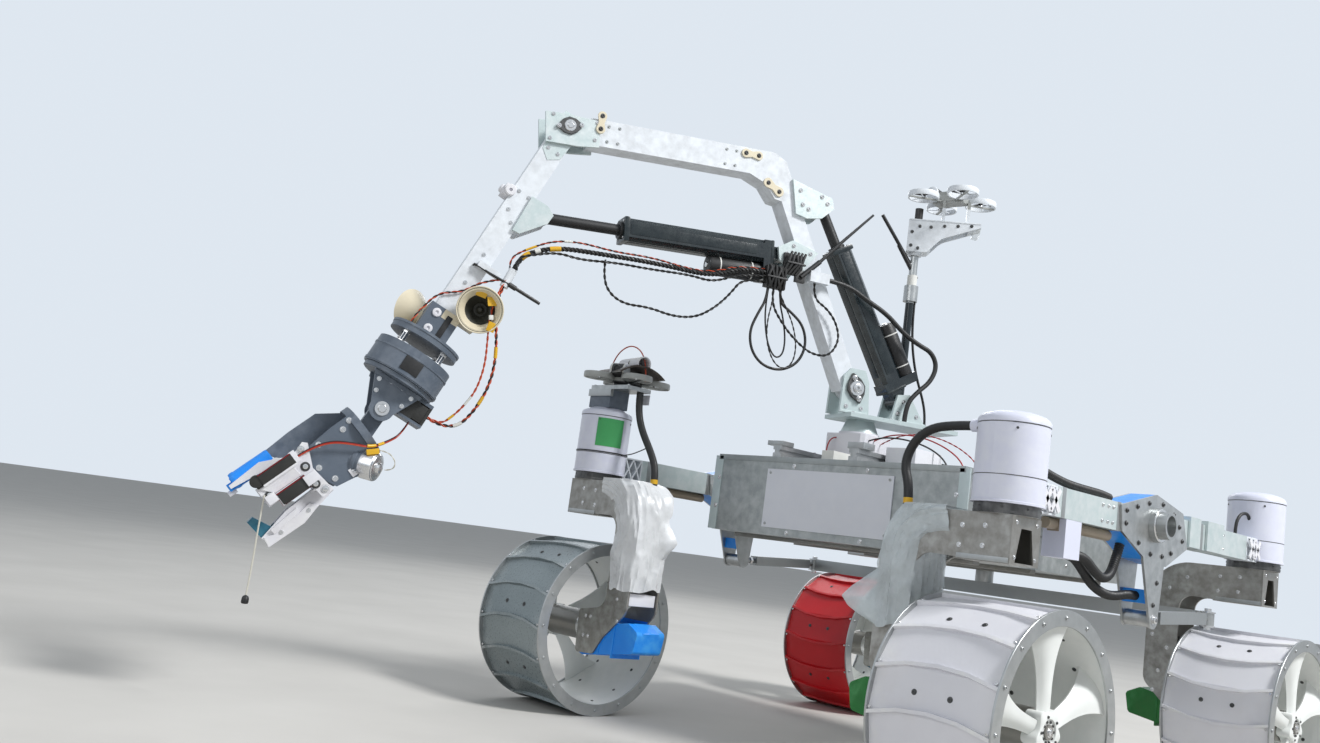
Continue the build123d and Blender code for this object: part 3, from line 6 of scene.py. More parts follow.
import bmesh
import bpy
from mathutils import Euler, Matrix, Vector, noise
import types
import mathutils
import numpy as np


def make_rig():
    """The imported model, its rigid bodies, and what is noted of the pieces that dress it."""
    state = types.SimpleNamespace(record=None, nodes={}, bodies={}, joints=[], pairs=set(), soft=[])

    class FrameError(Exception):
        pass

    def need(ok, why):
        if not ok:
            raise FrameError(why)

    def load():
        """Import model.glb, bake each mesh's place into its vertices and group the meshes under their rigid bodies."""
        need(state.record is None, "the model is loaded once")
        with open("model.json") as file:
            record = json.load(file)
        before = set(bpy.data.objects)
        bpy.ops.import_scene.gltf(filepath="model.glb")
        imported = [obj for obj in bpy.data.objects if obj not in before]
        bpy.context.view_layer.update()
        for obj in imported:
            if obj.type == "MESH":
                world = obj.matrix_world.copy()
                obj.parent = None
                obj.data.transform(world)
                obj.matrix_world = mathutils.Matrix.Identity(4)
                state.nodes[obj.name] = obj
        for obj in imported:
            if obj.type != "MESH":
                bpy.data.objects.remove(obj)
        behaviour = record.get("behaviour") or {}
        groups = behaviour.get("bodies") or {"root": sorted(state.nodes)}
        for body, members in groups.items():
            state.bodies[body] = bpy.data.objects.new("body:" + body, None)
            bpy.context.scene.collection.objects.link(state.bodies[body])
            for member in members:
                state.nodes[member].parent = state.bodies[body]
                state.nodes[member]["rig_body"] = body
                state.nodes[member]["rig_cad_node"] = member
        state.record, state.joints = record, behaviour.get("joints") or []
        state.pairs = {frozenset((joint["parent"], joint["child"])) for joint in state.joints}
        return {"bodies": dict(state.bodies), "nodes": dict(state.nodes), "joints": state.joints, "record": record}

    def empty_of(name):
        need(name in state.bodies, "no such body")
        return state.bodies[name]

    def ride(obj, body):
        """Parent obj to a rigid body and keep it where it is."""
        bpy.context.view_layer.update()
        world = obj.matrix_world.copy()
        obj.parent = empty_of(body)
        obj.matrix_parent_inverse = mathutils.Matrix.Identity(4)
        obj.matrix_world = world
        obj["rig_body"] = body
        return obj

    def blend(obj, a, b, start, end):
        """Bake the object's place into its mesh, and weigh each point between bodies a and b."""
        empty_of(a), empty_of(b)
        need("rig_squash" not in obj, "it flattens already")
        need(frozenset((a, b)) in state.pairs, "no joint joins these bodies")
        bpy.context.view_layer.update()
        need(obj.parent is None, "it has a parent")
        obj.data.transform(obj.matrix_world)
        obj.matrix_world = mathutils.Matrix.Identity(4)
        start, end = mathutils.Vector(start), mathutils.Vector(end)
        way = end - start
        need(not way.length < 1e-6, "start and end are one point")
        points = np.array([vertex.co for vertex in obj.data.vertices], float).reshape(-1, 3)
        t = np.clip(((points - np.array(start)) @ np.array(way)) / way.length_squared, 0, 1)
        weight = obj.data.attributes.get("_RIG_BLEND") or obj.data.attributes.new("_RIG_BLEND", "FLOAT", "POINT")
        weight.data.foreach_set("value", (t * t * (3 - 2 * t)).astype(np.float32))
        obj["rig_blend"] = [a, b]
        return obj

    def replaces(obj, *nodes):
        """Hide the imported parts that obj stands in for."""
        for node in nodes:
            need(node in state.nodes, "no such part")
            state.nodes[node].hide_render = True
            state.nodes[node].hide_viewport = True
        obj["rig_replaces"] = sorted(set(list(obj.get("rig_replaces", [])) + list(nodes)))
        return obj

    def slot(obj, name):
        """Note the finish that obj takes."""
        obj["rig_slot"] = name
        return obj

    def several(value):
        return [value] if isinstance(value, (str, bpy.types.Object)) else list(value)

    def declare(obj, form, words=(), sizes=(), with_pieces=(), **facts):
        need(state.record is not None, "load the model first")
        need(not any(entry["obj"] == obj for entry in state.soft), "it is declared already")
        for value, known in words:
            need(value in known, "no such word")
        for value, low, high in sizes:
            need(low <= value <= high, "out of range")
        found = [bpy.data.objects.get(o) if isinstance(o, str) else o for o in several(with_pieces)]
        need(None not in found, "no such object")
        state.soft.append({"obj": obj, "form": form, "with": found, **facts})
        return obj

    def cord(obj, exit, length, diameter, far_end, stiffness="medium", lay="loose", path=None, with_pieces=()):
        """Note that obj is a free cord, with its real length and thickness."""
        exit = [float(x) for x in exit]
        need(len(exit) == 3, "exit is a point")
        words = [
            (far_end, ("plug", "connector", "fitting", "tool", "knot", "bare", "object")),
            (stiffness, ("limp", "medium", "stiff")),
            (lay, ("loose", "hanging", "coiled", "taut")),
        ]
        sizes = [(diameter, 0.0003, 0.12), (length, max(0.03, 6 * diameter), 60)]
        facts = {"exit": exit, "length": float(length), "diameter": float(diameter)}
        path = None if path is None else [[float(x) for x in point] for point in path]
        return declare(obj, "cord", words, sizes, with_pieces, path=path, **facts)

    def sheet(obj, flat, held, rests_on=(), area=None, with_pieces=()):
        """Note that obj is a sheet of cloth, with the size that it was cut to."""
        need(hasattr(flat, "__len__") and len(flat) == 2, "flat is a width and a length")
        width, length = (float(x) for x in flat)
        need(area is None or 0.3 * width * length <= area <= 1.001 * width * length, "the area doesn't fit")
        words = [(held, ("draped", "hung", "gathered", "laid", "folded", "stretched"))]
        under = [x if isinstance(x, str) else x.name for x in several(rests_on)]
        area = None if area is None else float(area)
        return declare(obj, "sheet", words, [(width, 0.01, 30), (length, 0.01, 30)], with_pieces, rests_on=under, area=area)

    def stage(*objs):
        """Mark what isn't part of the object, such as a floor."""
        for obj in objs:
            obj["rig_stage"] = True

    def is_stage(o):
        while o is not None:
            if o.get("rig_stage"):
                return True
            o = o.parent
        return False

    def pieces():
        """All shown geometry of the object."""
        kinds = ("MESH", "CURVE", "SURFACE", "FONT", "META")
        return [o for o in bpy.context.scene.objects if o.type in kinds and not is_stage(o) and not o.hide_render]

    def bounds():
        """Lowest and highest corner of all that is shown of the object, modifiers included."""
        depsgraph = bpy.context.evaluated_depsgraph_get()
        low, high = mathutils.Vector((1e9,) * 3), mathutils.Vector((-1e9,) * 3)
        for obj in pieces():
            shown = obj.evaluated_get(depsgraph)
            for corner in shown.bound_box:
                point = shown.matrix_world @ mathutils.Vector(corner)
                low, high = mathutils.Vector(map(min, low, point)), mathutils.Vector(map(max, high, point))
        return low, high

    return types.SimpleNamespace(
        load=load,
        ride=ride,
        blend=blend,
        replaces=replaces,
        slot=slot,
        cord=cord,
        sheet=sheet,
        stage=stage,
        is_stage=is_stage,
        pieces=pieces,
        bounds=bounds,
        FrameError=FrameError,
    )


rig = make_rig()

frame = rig.load()
cad_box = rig.bounds()
NODES = frame["nodes"]
MM = 0.001

# Sizes that this file shares with the CAD source, in millimetres
AXLE_X = 445.0
WHEEL_Y = 458.0
STEER_Y = 451.0
BEAM_Y = 453.0
WHEEL_R = 160.0
WHEEL_W = 190.0
CAN_R = 50.0
CAN_BOTTOM = 452.0
CAN_TOP = 570.0
DECK_TOP = 522.0
PLATFORM_TOP = 620.0
CHASSIS_FRONT = 287.0
PIVOT_X = 35.0
BEAM_Z = 471.0
CORNERS = {"fl": (1, 1), "fr": (1, -1), "rl": (-1, 1), "rr": (-1, -1)}


def placed(x, y, z, turn=(0.0, 0.0, 0.0)):
    """A frame at a point in millimetres, turned by degrees."""
    return Matrix.Translation(Vector((x, y, z)) * MM) @ turned(turn)


def turned(turn):
    """The matrix of a turn by degrees about X, Y and Z."""
    return Euler([radians(a) for a in turn]).to_matrix().to_4x4()


def facing(x, y, z):
    """The turn that takes +Z to a direction."""
    return Vector((x, y, z)).normalized().to_track_quat("Z", "Y").to_matrix().to_4x4()


ROOT = Matrix.Identity(4)
ARM = placed(160, -45, PLATFORM_TOP, (0, 0, -22))
ELBOW = (652.0, 406.0)
FOREARM_LEAN = 23.5
FOREARM = ARM @ placed(ELBOW[0], 0, ELBOW[1], (0, 90 - FOREARM_LEAN, 0))
HAND_ORIGIN = (909.0, -182.0)
HAND_TILT = 45.0
HAND = ARM @ placed(HAND_ORIGIN[0], 0, HAND_ORIGIN[1], (0, HAND_TILT, 0))
MAST = (-103.0, -38.0)
GUSSET_TURN = 148.6
GUSSET = ARM @ placed(*MAST, 353, (0, 0, GUSSET_TURN))
MAST_DRONE = GUSSET @ placed(62, 0, 116, (0, 0, -59.5 - GUSSET_TURN))
CAN_DRONE = placed(AXLE_X - 23, -STEER_Y + 19, 644, (0, 0, 22.5))
CURL = ARM @ placed(208, 0, 273, (0, 3.98, 0))
LIFT = ARM @ placed(-73, 0, 40, (0, -58.67, 0))
NEAR_HORN = FOREARM @ placed(359.5, 11.0, -46.4) @ facing(0.228, 0.97, 0.097)
FAR_HORN = FOREARM @ placed(408.0, -26.0, 18.0) @ facing(0.153, -0.776, 0.611)

# Camera, as the photograph was taken: an eye at wheel height near the front left wheel, looking slightly up
PHOTO_W = 1320
FOCAL_PX = 1151.33
EYE = Vector((1.8972, 1.3182, 0.3344))
FORWARD = Vector((-0.65796, -0.73879, 0.14583))
ROLL = 7.863
SENSOR = 36.0


def add_object(name, data):
    """A new object in the scene."""
    made = bpy.data.objects.new(name, data)
    bpy.context.scene.collection.objects.link(made)
    return made


def make_camera():
    data = bpy.data.cameras.new("photo_camera")
    data.sensor_width = SENSOR
    data.lens = SENSOR * FOCAL_PX / PHOTO_W
    data.clip_end = 200.0
    camera = add_object("photo_camera", data)
    turn = FORWARD.to_track_quat("-Z", "Y").to_matrix() @ Matrix.Rotation(radians(ROLL), 3, "Z")
    camera.matrix_world = Matrix.Translation(EYE) @ turn.to_4x4()
    bpy.context.scene.camera = camera


# Materials

Finish = namedtuple("Finish", "colour other rough metal dirt wear")
FINISHES = {
    # colour, second tone, roughness range, metallic, share of dust, colour of worn edges
    "white_print": Finish((0.86, 0.86, 0.88), (0.81, 0.81, 0.84), (0.42, 0.58), 0.0, 0.25, (0.92, 0.92, 0.9)),
    "white_spoke": Finish((0.89, 0.9, 0.89), (0.84, 0.85, 0.84), (0.38, 0.54), 0.0, 0.08, (0.92, 0.92, 0.91)),
    "grey_print": Finish((0.54, 0.58, 0.59), (0.46, 0.5, 0.51), (0.24, 0.36), 0.35, 0.25, (0.74, 0.75, 0.75)),
    "red_print": Finish((0.8, 0.05, 0.1), (0.7, 0.03, 0.08), (0.36, 0.5), 0.0, 0.08, (0.78, 0.3, 0.3)),
    "blue_print": Finish((0.03, 0.53, 0.92), (0.02, 0.46, 0.84), (0.32, 0.46), 0.0, 0.04, (0.3, 0.66, 0.92)),
    "teal_print": Finish((0.05, 0.36, 0.45), (0.04, 0.29, 0.38), (0.36, 0.5), 0.0, 0.08, (0.3, 0.5, 0.56)),
    "green_print": Finish((0.05, 0.45, 0.16), (0.03, 0.36, 0.12), (0.32, 0.48), 0.0, 0.08, (0.3, 0.6, 0.36)),
    "slate_print": Finish((0.34, 0.38, 0.43), (0.3, 0.34, 0.39), (0.36, 0.5), 0.0, 0.03, (0.5, 0.53, 0.57)),
    "black_print": Finish((0.06, 0.06, 0.065), (0.09, 0.09, 0.095), (0.38, 0.56), 0.0, 0.06,
                          (0.22, 0.22, 0.22)),
    "servo_black": Finish((0.1, 0.1, 0.09), (0.14, 0.14, 0.13), (0.35, 0.5), 0.0, 0.05, (0.25, 0.25, 0.24)),
    "servo_red": Finish((0.45, 0.04, 0.08), (0.36, 0.03, 0.06), (0.3, 0.44), 0.4, 0.03, (0.62, 0.2, 0.2)),
    "aluminium": Finish((0.66, 0.67, 0.67), (0.62, 0.63, 0.63), (0.28, 0.4), 0.85, 0.05, (0.84, 0.84, 0.84)),
    "dull_metal": Finish((0.55, 0.54, 0.52), (0.51, 0.5, 0.48), (0.34, 0.46), 0.75, 0.08, (0.76, 0.76, 0.75)),
    "dark_metal": Finish((0.3, 0.3, 0.3), (0.24, 0.24, 0.24), (0.32, 0.46), 0.7, 0.1, (0.5, 0.5, 0.5)),
    "bright_metal": Finish((0.82, 0.82, 0.82), (0.76, 0.76, 0.76), (0.16, 0.3), 0.95, 0.04, (0.9, 0.9, 0.9)),
    "pale_metal": Finish((0.74, 0.79, 0.79), (0.71, 0.76, 0.76), (0.32, 0.44), 0.35, 0.05,
                         (0.86, 0.87, 0.87)),
    "white_paint": Finish((0.88, 0.9, 0.92), (0.85, 0.87, 0.9), (0.26, 0.38), 0.0, 0.03, (0.68, 0.69, 0.7)),
    "cream": Finish((0.84, 0.8, 0.7), (0.79, 0.75, 0.65), (0.38, 0.52), 0.0, 0.05, (0.86, 0.83, 0.76)),
    "olive": Finish((0.13, 0.13, 0.09), (0.09, 0.09, 0.06), (0.5, 0.66), 0.0, 0.06, (0.22, 0.21, 0.16)),
    "green_black": Finish((0.05, 0.1, 0.12), (0.04, 0.08, 0.1), (0.2, 0.32), 0.0, 0.03, (0.3, 0.33, 0.33)),
    "can_white": Finish((0.83, 0.84, 0.9), (0.8, 0.81, 0.87), (0.28, 0.4), 0.0, 0.05, (0.88, 0.89, 0.91)),
    "panel": Finish((0.6, 0.62, 0.62), (0.57, 0.59, 0.59), (0.34, 0.46), 0.6, 0.06, (0.78, 0.79, 0.79)),
    "pipe_brown": Finish((0.6, 0.55, 0.48), (0.5, 0.45, 0.39), (0.4, 0.58), 0.0, 0.25, (0.7, 0.66, 0.6)),
    "leaf_brown": Finish((0.24, 0.2, 0.17), (0.17, 0.14, 0.12), (0.45, 0.62), 0.0, 0.08, (0.36, 0.32, 0.28)),
    "drone_grey": Finish((0.62, 0.63, 0.62), (0.52, 0.53, 0.52), (0.3, 0.45), 0.0, 0.06, (0.78, 0.78, 0.77)),
    "paper": Finish((0.82, 0.83, 0.86), (0.79, 0.8, 0.83), (0.5, 0.6), 0.0, 0.04, (0.86, 0.86, 0.87)),
    "note_green": Finish((0.25, 0.62, 0.36), (0.21, 0.55, 0.31), (0.55, 0.68), 0.0, 0.03, (0.35, 0.68, 0.45)),
    "tape_yellow": Finish((0.85, 0.66, 0.1), (0.76, 0.57, 0.06), (0.3, 0.44), 0.0, 0.04, (0.92, 0.78, 0.3)),
    "tape_white": Finish((0.84, 0.84, 0.82), (0.78, 0.78, 0.76), (0.4, 0.55), 0.0, 0.08, (0.88, 0.88, 0.87)),
    "rubber": Finish((0.045, 0.045, 0.047), (0.07, 0.07, 0.07), (0.42, 0.6), 0.0, 0.1, (0.12, 0.12, 0.12)),
    "wire_orange": Finish((0.72, 0.24, 0.08), (0.62, 0.17, 0.05), (0.36, 0.5), 0.0, 0.04, (0.8, 0.4, 0.2)),
    "wire_red": Finish((0.62, 0.05, 0.06), (0.5, 0.03, 0.04), (0.36, 0.5), 0.0, 0.04, (0.7, 0.2, 0.2)),
    "wire_white": Finish((0.8, 0.79, 0.74), (0.72, 0.71, 0.66), (0.4, 0.55), 0.0, 0.08, (0.84, 0.83, 0.8)),
}
SAND = (0.66, 0.57, 0.45)


def linear(colour):
    """An sRGB colour as the shader's linear one."""
    return tuple(c / 12.92 if c <= 0.04045 else ((c + 0.055) / 1.055) ** 2.4 for c in colour)


class Shader:
    """A material's node tree, with short names for what this scene uses."""

    def __init__(self, name):
        self.material = bpy.data.materials.new(name)
        self.material.use_nodes = True
        self.tree = self.material.node_tree
        self.bsdf = self.tree.nodes["Principled BSDF"]
        self.coords = self.new("ShaderNodeTexCoord").outputs["Object"]

    def new(self, kind, **settings):
        node = self.tree.nodes.new(kind)
        for key, value in settings.items():
            setattr(node, key, value)
        return node

    def put(self, socket, value):
        if hasattr(value, "is_output"):
            self.tree.links.new(value, socket)
        else:
            socket.default_value = value

    def math(self, operation, a, b=0.0, clamp=False):
        node = self.new("ShaderNodeMath", operation=operation, use_clamp=clamp)
        self.put(node.inputs[0], a)
        self.put(node.inputs[1], b)
        return node.outputs[0]

    def noise(self, scale, detail=4.0, roughness=0.55, stretch=(1, 1, 1)):
        place = self.new("ShaderNodeMapping")
        place.inputs["Scale"].default_value = stretch
        self.put(place.inputs["Vector"], self.coords)
        node = self.new("ShaderNodeTexNoise")
        node.inputs["Scale"].default_value = scale
        node.inputs["Detail"].default_value = detail
        node.inputs["Roughness"].default_value = roughness
        self.put(node.inputs["Vector"], place.outputs["Vector"])
        return node.outputs["Fac"]

    def span(self, value, low, high, to_low=0.0, to_high=1.0):
        node = self.new("ShaderNodeMapRange")
        self.put(node.inputs["Value"], value)
        for key, number in (("From Min", low), ("From Max", high), ("To Min", to_low), ("To Max", to_high)):
            node.inputs[key].default_value = number
        return node.outputs["Result"]

    def mix(self, share, a, b):
        node = self.new("ShaderNodeMix", data_type="RGBA")
        self.put(node.inputs[0], share)
        for socket, value in ((node.inputs[6], a), (node.inputs[7], b)):
            self.put(socket, (*linear(value), 1.0) if isinstance(value, tuple) else value)
        return node.outputs[2]

    def blend(self, share, a, b):
        """A number that goes from a to b."""
        node = self.new("ShaderNodeMix", data_type="FLOAT")
        self.put(node.inputs[0], share)
        self.put(node.inputs[2], a)
        self.put(node.inputs[3], b)
        return node.outputs[0]

    def within(self, lo, hi, where=ROOT):
        """1 inside a box of that frame, given in millimetres, and 0 outside."""
        place = self.new("ShaderNodeMapping", vector_type="TEXTURE")
        place.inputs["Location"].default_value = where.to_translation()
        place.inputs["Rotation"].default_value = where.to_euler()
        self.put(place.inputs["Vector"], self.coords)
        parts = self.split(place.outputs["Vector"])
        inside = 1.0
        for axis in range(3):
            above = self.math("GREATER_THAN", parts[axis], lo[axis] * MM)
            below = self.math("LESS_THAN", parts[axis], hi[axis] * MM)
            inside = self.math("MULTIPLY", self.math("MULTIPLY", above, below), inside)
        return inside

    def split(self, vector):
        node = self.new("ShaderNodeSeparateXYZ")
        self.put(node.inputs[0], vector)
        return node.outputs

    def bump(self, height, strength, depth):
        node = self.new("ShaderNodeBump")
        node.inputs["Strength"].default_value = strength
        node.inputs["Distance"].default_value = depth
        self.put(node.inputs["Height"], height)
        self.put(self.bsdf.inputs["Normal"], node.outputs["Normal"])


FAR = 5000.0
LAYER_STEP = 0.0012
GRAIN_SCALE = 260.0
GRAIN_DEPTH = 0.0004
FILM_DEPTH = 0.002


def material(name, base, *regions, lines=0.0, grain=0.1, scale=14.0, stretch=(1, 1, 1), coat=0.0, edge=0.5):
    """A finish, and others inside regions of (mask, finish's name), with dust, wear and grain."""
    s = Shader(name)
    tones = s.span(s.noise(scale, stretch=stretch), 0.35, 0.65, 0.0, 0.5)
    dust = s.span(s.noise(scale * 0.6, 6.0, 0.65), 0.55, 0.95)
    fine = s.noise(GRAIN_SCALE, 3.0, 0.6, stretch)
    rough_share = s.span(fine, 0.3, 0.7)
    pointed = s.span(s.new("ShaderNodeNewGeometry").outputs["Pointiness"], 0.52, 0.62)
    worn = s.math("MULTIPLY", s.math("MULTIPLY", pointed, s.span(s.noise(60.0), 0.35, 0.7)), edge, True)

    def look(finish):
        tone = s.mix(tones, finish.colour, finish.other)
        tone = s.mix(s.math("MULTIPLY", dust, finish.dirt), tone, SAND)
        tone = s.mix(worn, tone, finish.wear)
        return tone, s.blend(rough_share, *finish.rough)

    tone, rough = look(FINISHES[base])
    metal = FINISHES[base].metal
    for mask, other in regions:
        inside = mask(s)
        other_tone, other_rough = look(FINISHES[other])
        tone = s.mix(inside, tone, other_tone)
        rough = s.blend(inside, rough, other_rough)
        if FINISHES[other].metal != FINISHES[base].metal or not isinstance(metal, float):
            metal = s.blend(inside, metal, FINISHES[other].metal)
    s.put(s.bsdf.inputs["Base Color"], tone)
    s.put(s.bsdf.inputs["Roughness"], rough)
    s.put(s.bsdf.inputs["Metallic"], metal)
    s.bsdf.inputs["Coat Weight"].default_value = coat
    height = fine
    if lines:
        ridges = s.math("SINE", s.math("MULTIPLY", s.split(s.coords)["Z"], 2 * pi / LAYER_STEP))
        height = s.math("ADD", s.math("MULTIPLY", ridges, lines), fine)
    s.bump(height, grain, GRAIN_DEPTH)
    return s.material


def box_region(lo, hi, where=ROOT):
    return lambda s: s.within(lo, hi, where)


# finishes that show a printer's layers
PRINTED = {"white_print", "white_spoke", "grey_print", "red_print", "blue_print", "teal_print",
           "green_print", "slate_print", "black_print", "can_white"}
M = {}
for name in FINISHES:
    lines, grain = (0.7, 0.18) if name in PRINTED else (0.0, 0.08)
    M[name] = material(name, name, lines=lines, grain=grain)


def film(name, colour, alpha, rough):
    """Thin clear plastic sheet."""
    s = Shader(name)
    tones = s.span(s.noise(30.0), 0.3, 0.7)
    s.put(s.bsdf.inputs["Base Color"], s.mix(tones, colour, tuple(c * 0.93 for c in colour)))
    s.put(s.bsdf.inputs["Alpha"], s.span(s.noise(16.0, 3.0), 0.3, 0.7, *alpha))
    s.put(s.bsdf.inputs["Roughness"], s.span(s.noise(80.0), 0.3, 0.7, *rough))
    s.bump(s.noise(90.0, 2.0), 0.3, FILM_DEPTH)
    return s.material


FILMS = (
    # name, colour, range of alpha, range of roughness
    ("white_film", (0.93, 0.94, 0.95), (0.66, 0.9), (0.22, 0.4)),
    ("blue_film", (0.90, 0.94, 0.96), (0.45, 0.7), (0.2, 0.38)),
    ("clear_film", (0.80, 0.82, 0.82), (0.18, 0.5), (0.12, 0.3)),
)
for row in FILMS:
    M[row[0]] = film(*row)


# Mesh building

def disc_axes(direction):
    """Two unit vectors across a direction."""
    d = Vector(direction).normalized()
    helper = Vector((0, 0, 1)) if abs(d.z) < 0.9 else Vector((1, 0, 0))
    u = d.cross(helper).normalized()
    return d, u, d.cross(u)


def carried_axes(points):
    """Each point of a line with two unit vectors across it, carried along without a twist."""
    tangent = (points[1] - points[0]).normalized()
    _, side, _ = disc_axes(tangent)
    for i, point in enumerate(points):
        before = points[max(i - 1, 0)]
        after = points[min(i + 1, len(points) - 1)]
        new_tangent = (after - before).normalized()
        side = (tangent.rotation_difference(new_tangent) @ side).normalized()
        tangent = new_tangent
        yield point, side, tangent.cross(side)


def circle(count, start=0.0):
    """The cosine and sine of even steps round a circle, the first at a share of a step."""
    for i in range(count):
        a = 2 * pi * (i + start) / count
        yield cos(a), sin(a)


def sign(value):
    return 1 if value > 0 else -1


def skin(mesh, rings, closed=True):
    """Faces between neighbouring rings, or rows, of vertices."""
    for a, b in zip(rings, rings[1:]):
        for i in range(len(a) if closed else len(a) - 1):
            j = (i + 1) % len(a)
            mesh.faces.new((a[i], a[j], b[j], b[i]))


class Build:
    """Collects shapes, in millimetres of one frame, into one mesh piece."""

    def __init__(self, where=ROOT):
        self.mesh = bmesh.new()
        self.materials = []
        self.index = 0
        self.where = where

    def use(self, name):
        if name not in self.materials:
            self.materials.append(name)
        self.index = self.materials.index(name)
        return self

    def take(self, part):
        for face in part.faces:
            face.material_index = self.index
        temporary = bpy.data.meshes.new("part")
        part.to_mesh(temporary)
        part.free()
        self.mesh.from_mesh(temporary)
        bpy.data.meshes.remove(temporary)
        return self

    def box(self, x0, x1, y0, y1, z0, z1, bevel=0.6, turn=None):
        part = bmesh.new()
        bmesh.ops.create_cube(part, size=1.0)
        size = Matrix.Diagonal((x1 - x0, y1 - y0, z1 - z0, 1.0))
        bmesh.ops.transform(part, matrix=size, verts=part.verts)
        bmesh.ops.bevel(part, geom=list(part.edges), offset=bevel, segments=2, profile=0.7, affect="EDGES")
        if turn is not None:
            bmesh.ops.transform(part, matrix=turned(turn), verts=part.verts)
        centre = Vector(((x0 + x1) / 2, (y0 + y1) / 2, (z0 + z1) / 2))
        bmesh.ops.translate(part, vec=centre, verts=part.verts)
        return self.take(part)

    def lathe(self, origin, direction, profile, segments=24, caps=True):
        """Turns (distance along, radius) pairs about a direction."""
        part = bmesh.new()
        d, u, v = disc_axes(direction)
        rings = []
        for along, r in profile:
            ring = []
            for i in range(segments):
                a = radians(360.0 * i / segments)
                ring.append(part.verts.new(Vector(origin) + d * along + (u * cos(a) + v * sin(a)) * r))
            rings.append(ring)
        skin(part, rings)
        if caps and tuple(profile[0]) != tuple(profile[-1]):
            for ring, r in ((rings[0], profile[0][1]), (rings[-1], profile[-1][1])):
                if r > 0.01:
                    part.faces.new(ring)
        bmesh.ops.remove_doubles(part, verts=part.verts, dist=0.01)
        bmesh.ops.recalc_face_normals(part, faces=part.faces)
        return self.take(part)

    def rod(self, start, end, r, segments=20):
        length = (Vector(end) - Vector(start)).length
        soft = min(0.4, r * 0.4, length * 0.4)
        profile = ((0, r - soft), (soft, r), (length - soft, r), (length, r - soft))
        return self.lathe(start, Vector(end) - Vector(start), profile, segments)

    def ring(self, origin, direction, r, inner, height, segments=40):
        profile = ((0, inner), (0, r), (height, r), (height, inner), (0, inner))
        return self.lathe(origin, direction, profile, segments)

    def bolt(self, point, direction, r=3.0, height=2.0, washer=True):
        """A socket head on a washer."""
        base = 0.0
        if washer:
            base = 0.5
            self.ring(point, direction, r * 1.45, r * 0.5, base, 16)
        top = base + height
        socket = base + height * 0.4
        profile = ((base, r), (top - 0.4, r), (top, r * 0.85), (top, r * 0.5), (socket, r * 0.46),
                   (socket, 0.0))
        return self.lathe(point, direction, profile, 12)

    def side_bolts(self, spots, face, r=3.0, height=2.0, washer=True):
        """Bolts at (x, z) spots of a face across Y, with their heads away from y = 0."""
        for x, z in spots:
            self.bolt((x, face, z), (0, sign(face), 0), r, height, washer)

    def top_bolts(self, spots, z, r=3.0, height=2.0, washer=True):
        """Bolts at (x, y) spots of a level face, with their heads up."""
        for x, y in spots:
            self.bolt((x, y, z), (0, 0, 1), r, height, washer)

    def plate(self, points, axis, low, high, bevel=0.5):
        """An outline on the other two axes, between two values on this one."""
        part = bmesh.new()
        order = {"x": lambda a, b, c: (c, a, b), "y": lambda a, b, c: (a, c, b)}[axis]
        bottom = [part.verts.new(order(a, b, low)) for a, b in points]
        face = part.faces.new(bottom)
        made = bmesh.ops.extrude_face_region(part, geom=[face])
        moved = [item for item in made["geom"] if isinstance(item, bmesh.types.BMVert)]
        shift = Vector(order(0.0, 0.0, high - low))
        bmesh.ops.translate(part, vec=shift, verts=moved)
        bmesh.ops.recalc_face_normals(part, faces=part.faces)
        if bevel:
            sharp = [e for e in part.edges if e.calc_face_angle(0.0) > radians(30)]
            bmesh.ops.bevel(part, geom=sharp, offset=bevel, segments=1, affect="EDGES")
        return self.take(part)

    def sweep(self, path, r, segments=8):
        """A round tube along points of this frame; r is a number, or one for each point."""
        part = bmesh.new()
        points = [Vector(p) for p in path]
        radii = r if hasattr(r, "__len__") else [r] * len(points)
        rings = []
        for (point, side, up), radius in zip(carried_axes(points), radii):
            ring = []
            for k in range(segments):
                a = 2 * pi * k / segments
                ring.append(part.verts.new(point + (side * cos(a) + up * sin(a)) * radius))
            rings.append(ring)
        skin(part, rings)
        part.faces.new(rings[0])
        part.faces.new(rings[-1])
        bmesh.ops.recalc_face_normals(part, faces=part.faces)
        return self.take(part)

    def bridge(self, rings, loop=False):
        """Joins rings of as many points each into a skin; a loop joins the last ring to the first."""
        part = bmesh.new()
        made = [[part.verts.new(Vector(p)) for p in ring] for ring in rings]
        skin(part, made + made[:1] if loop else made)
        if not loop:
            part.faces.new(made[0])
            part.faces.new(made[-1])
        bmesh.ops.recalc_face_normals(part, faces=part.faces)
        return self.take(part)

    def piece(self, name, body=None, angle=35.0, slot=None):
        """Ends the build as an object of that name, on that body."""
        mesh = bpy.data.meshes.new(name)
        self.mesh.to_mesh(mesh)
        self.mesh.free()
        scale = Matrix.Diagonal((MM, MM, MM, 1.0))
        mesh.transform(self.where @ scale)
        for key in self.materials:
            mesh.materials.append(M[key])
        mesh.shade_smooth()
        mesh.set_sharp_from_angle(angle=radians(angle))
        made = add_object(name, mesh)
        if slot:
            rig.slot(made, slot)
        if body:
            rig.ride(made, body)
        return made


def mirror_y(build):
    """Turns a left-hand build into the right-hand one."""
    bmesh.ops.scale(build.mesh, vec=(1, -1, 1), verts=build.mesh.verts)
    bmesh.ops.reverse_faces(build.mesh, faces=build.mesh.faces)


# Painting the carried-over nodes: a region is a box round one feature of a node

def paint(material_used, *names):
    for name in names:
        mesh = NODES[name].data
        mesh.materials.clear()
        mesh.materials.append(material_used)


TREAD_FINISH = {"fl": "white_print", "fr": "grey_print", "rl": "white_print", "rr": "red_print"}
COVER_FINISH = {"fl": "green_print", "fr": "blue_print", "rl": "green_print", "rr": "teal_print"}


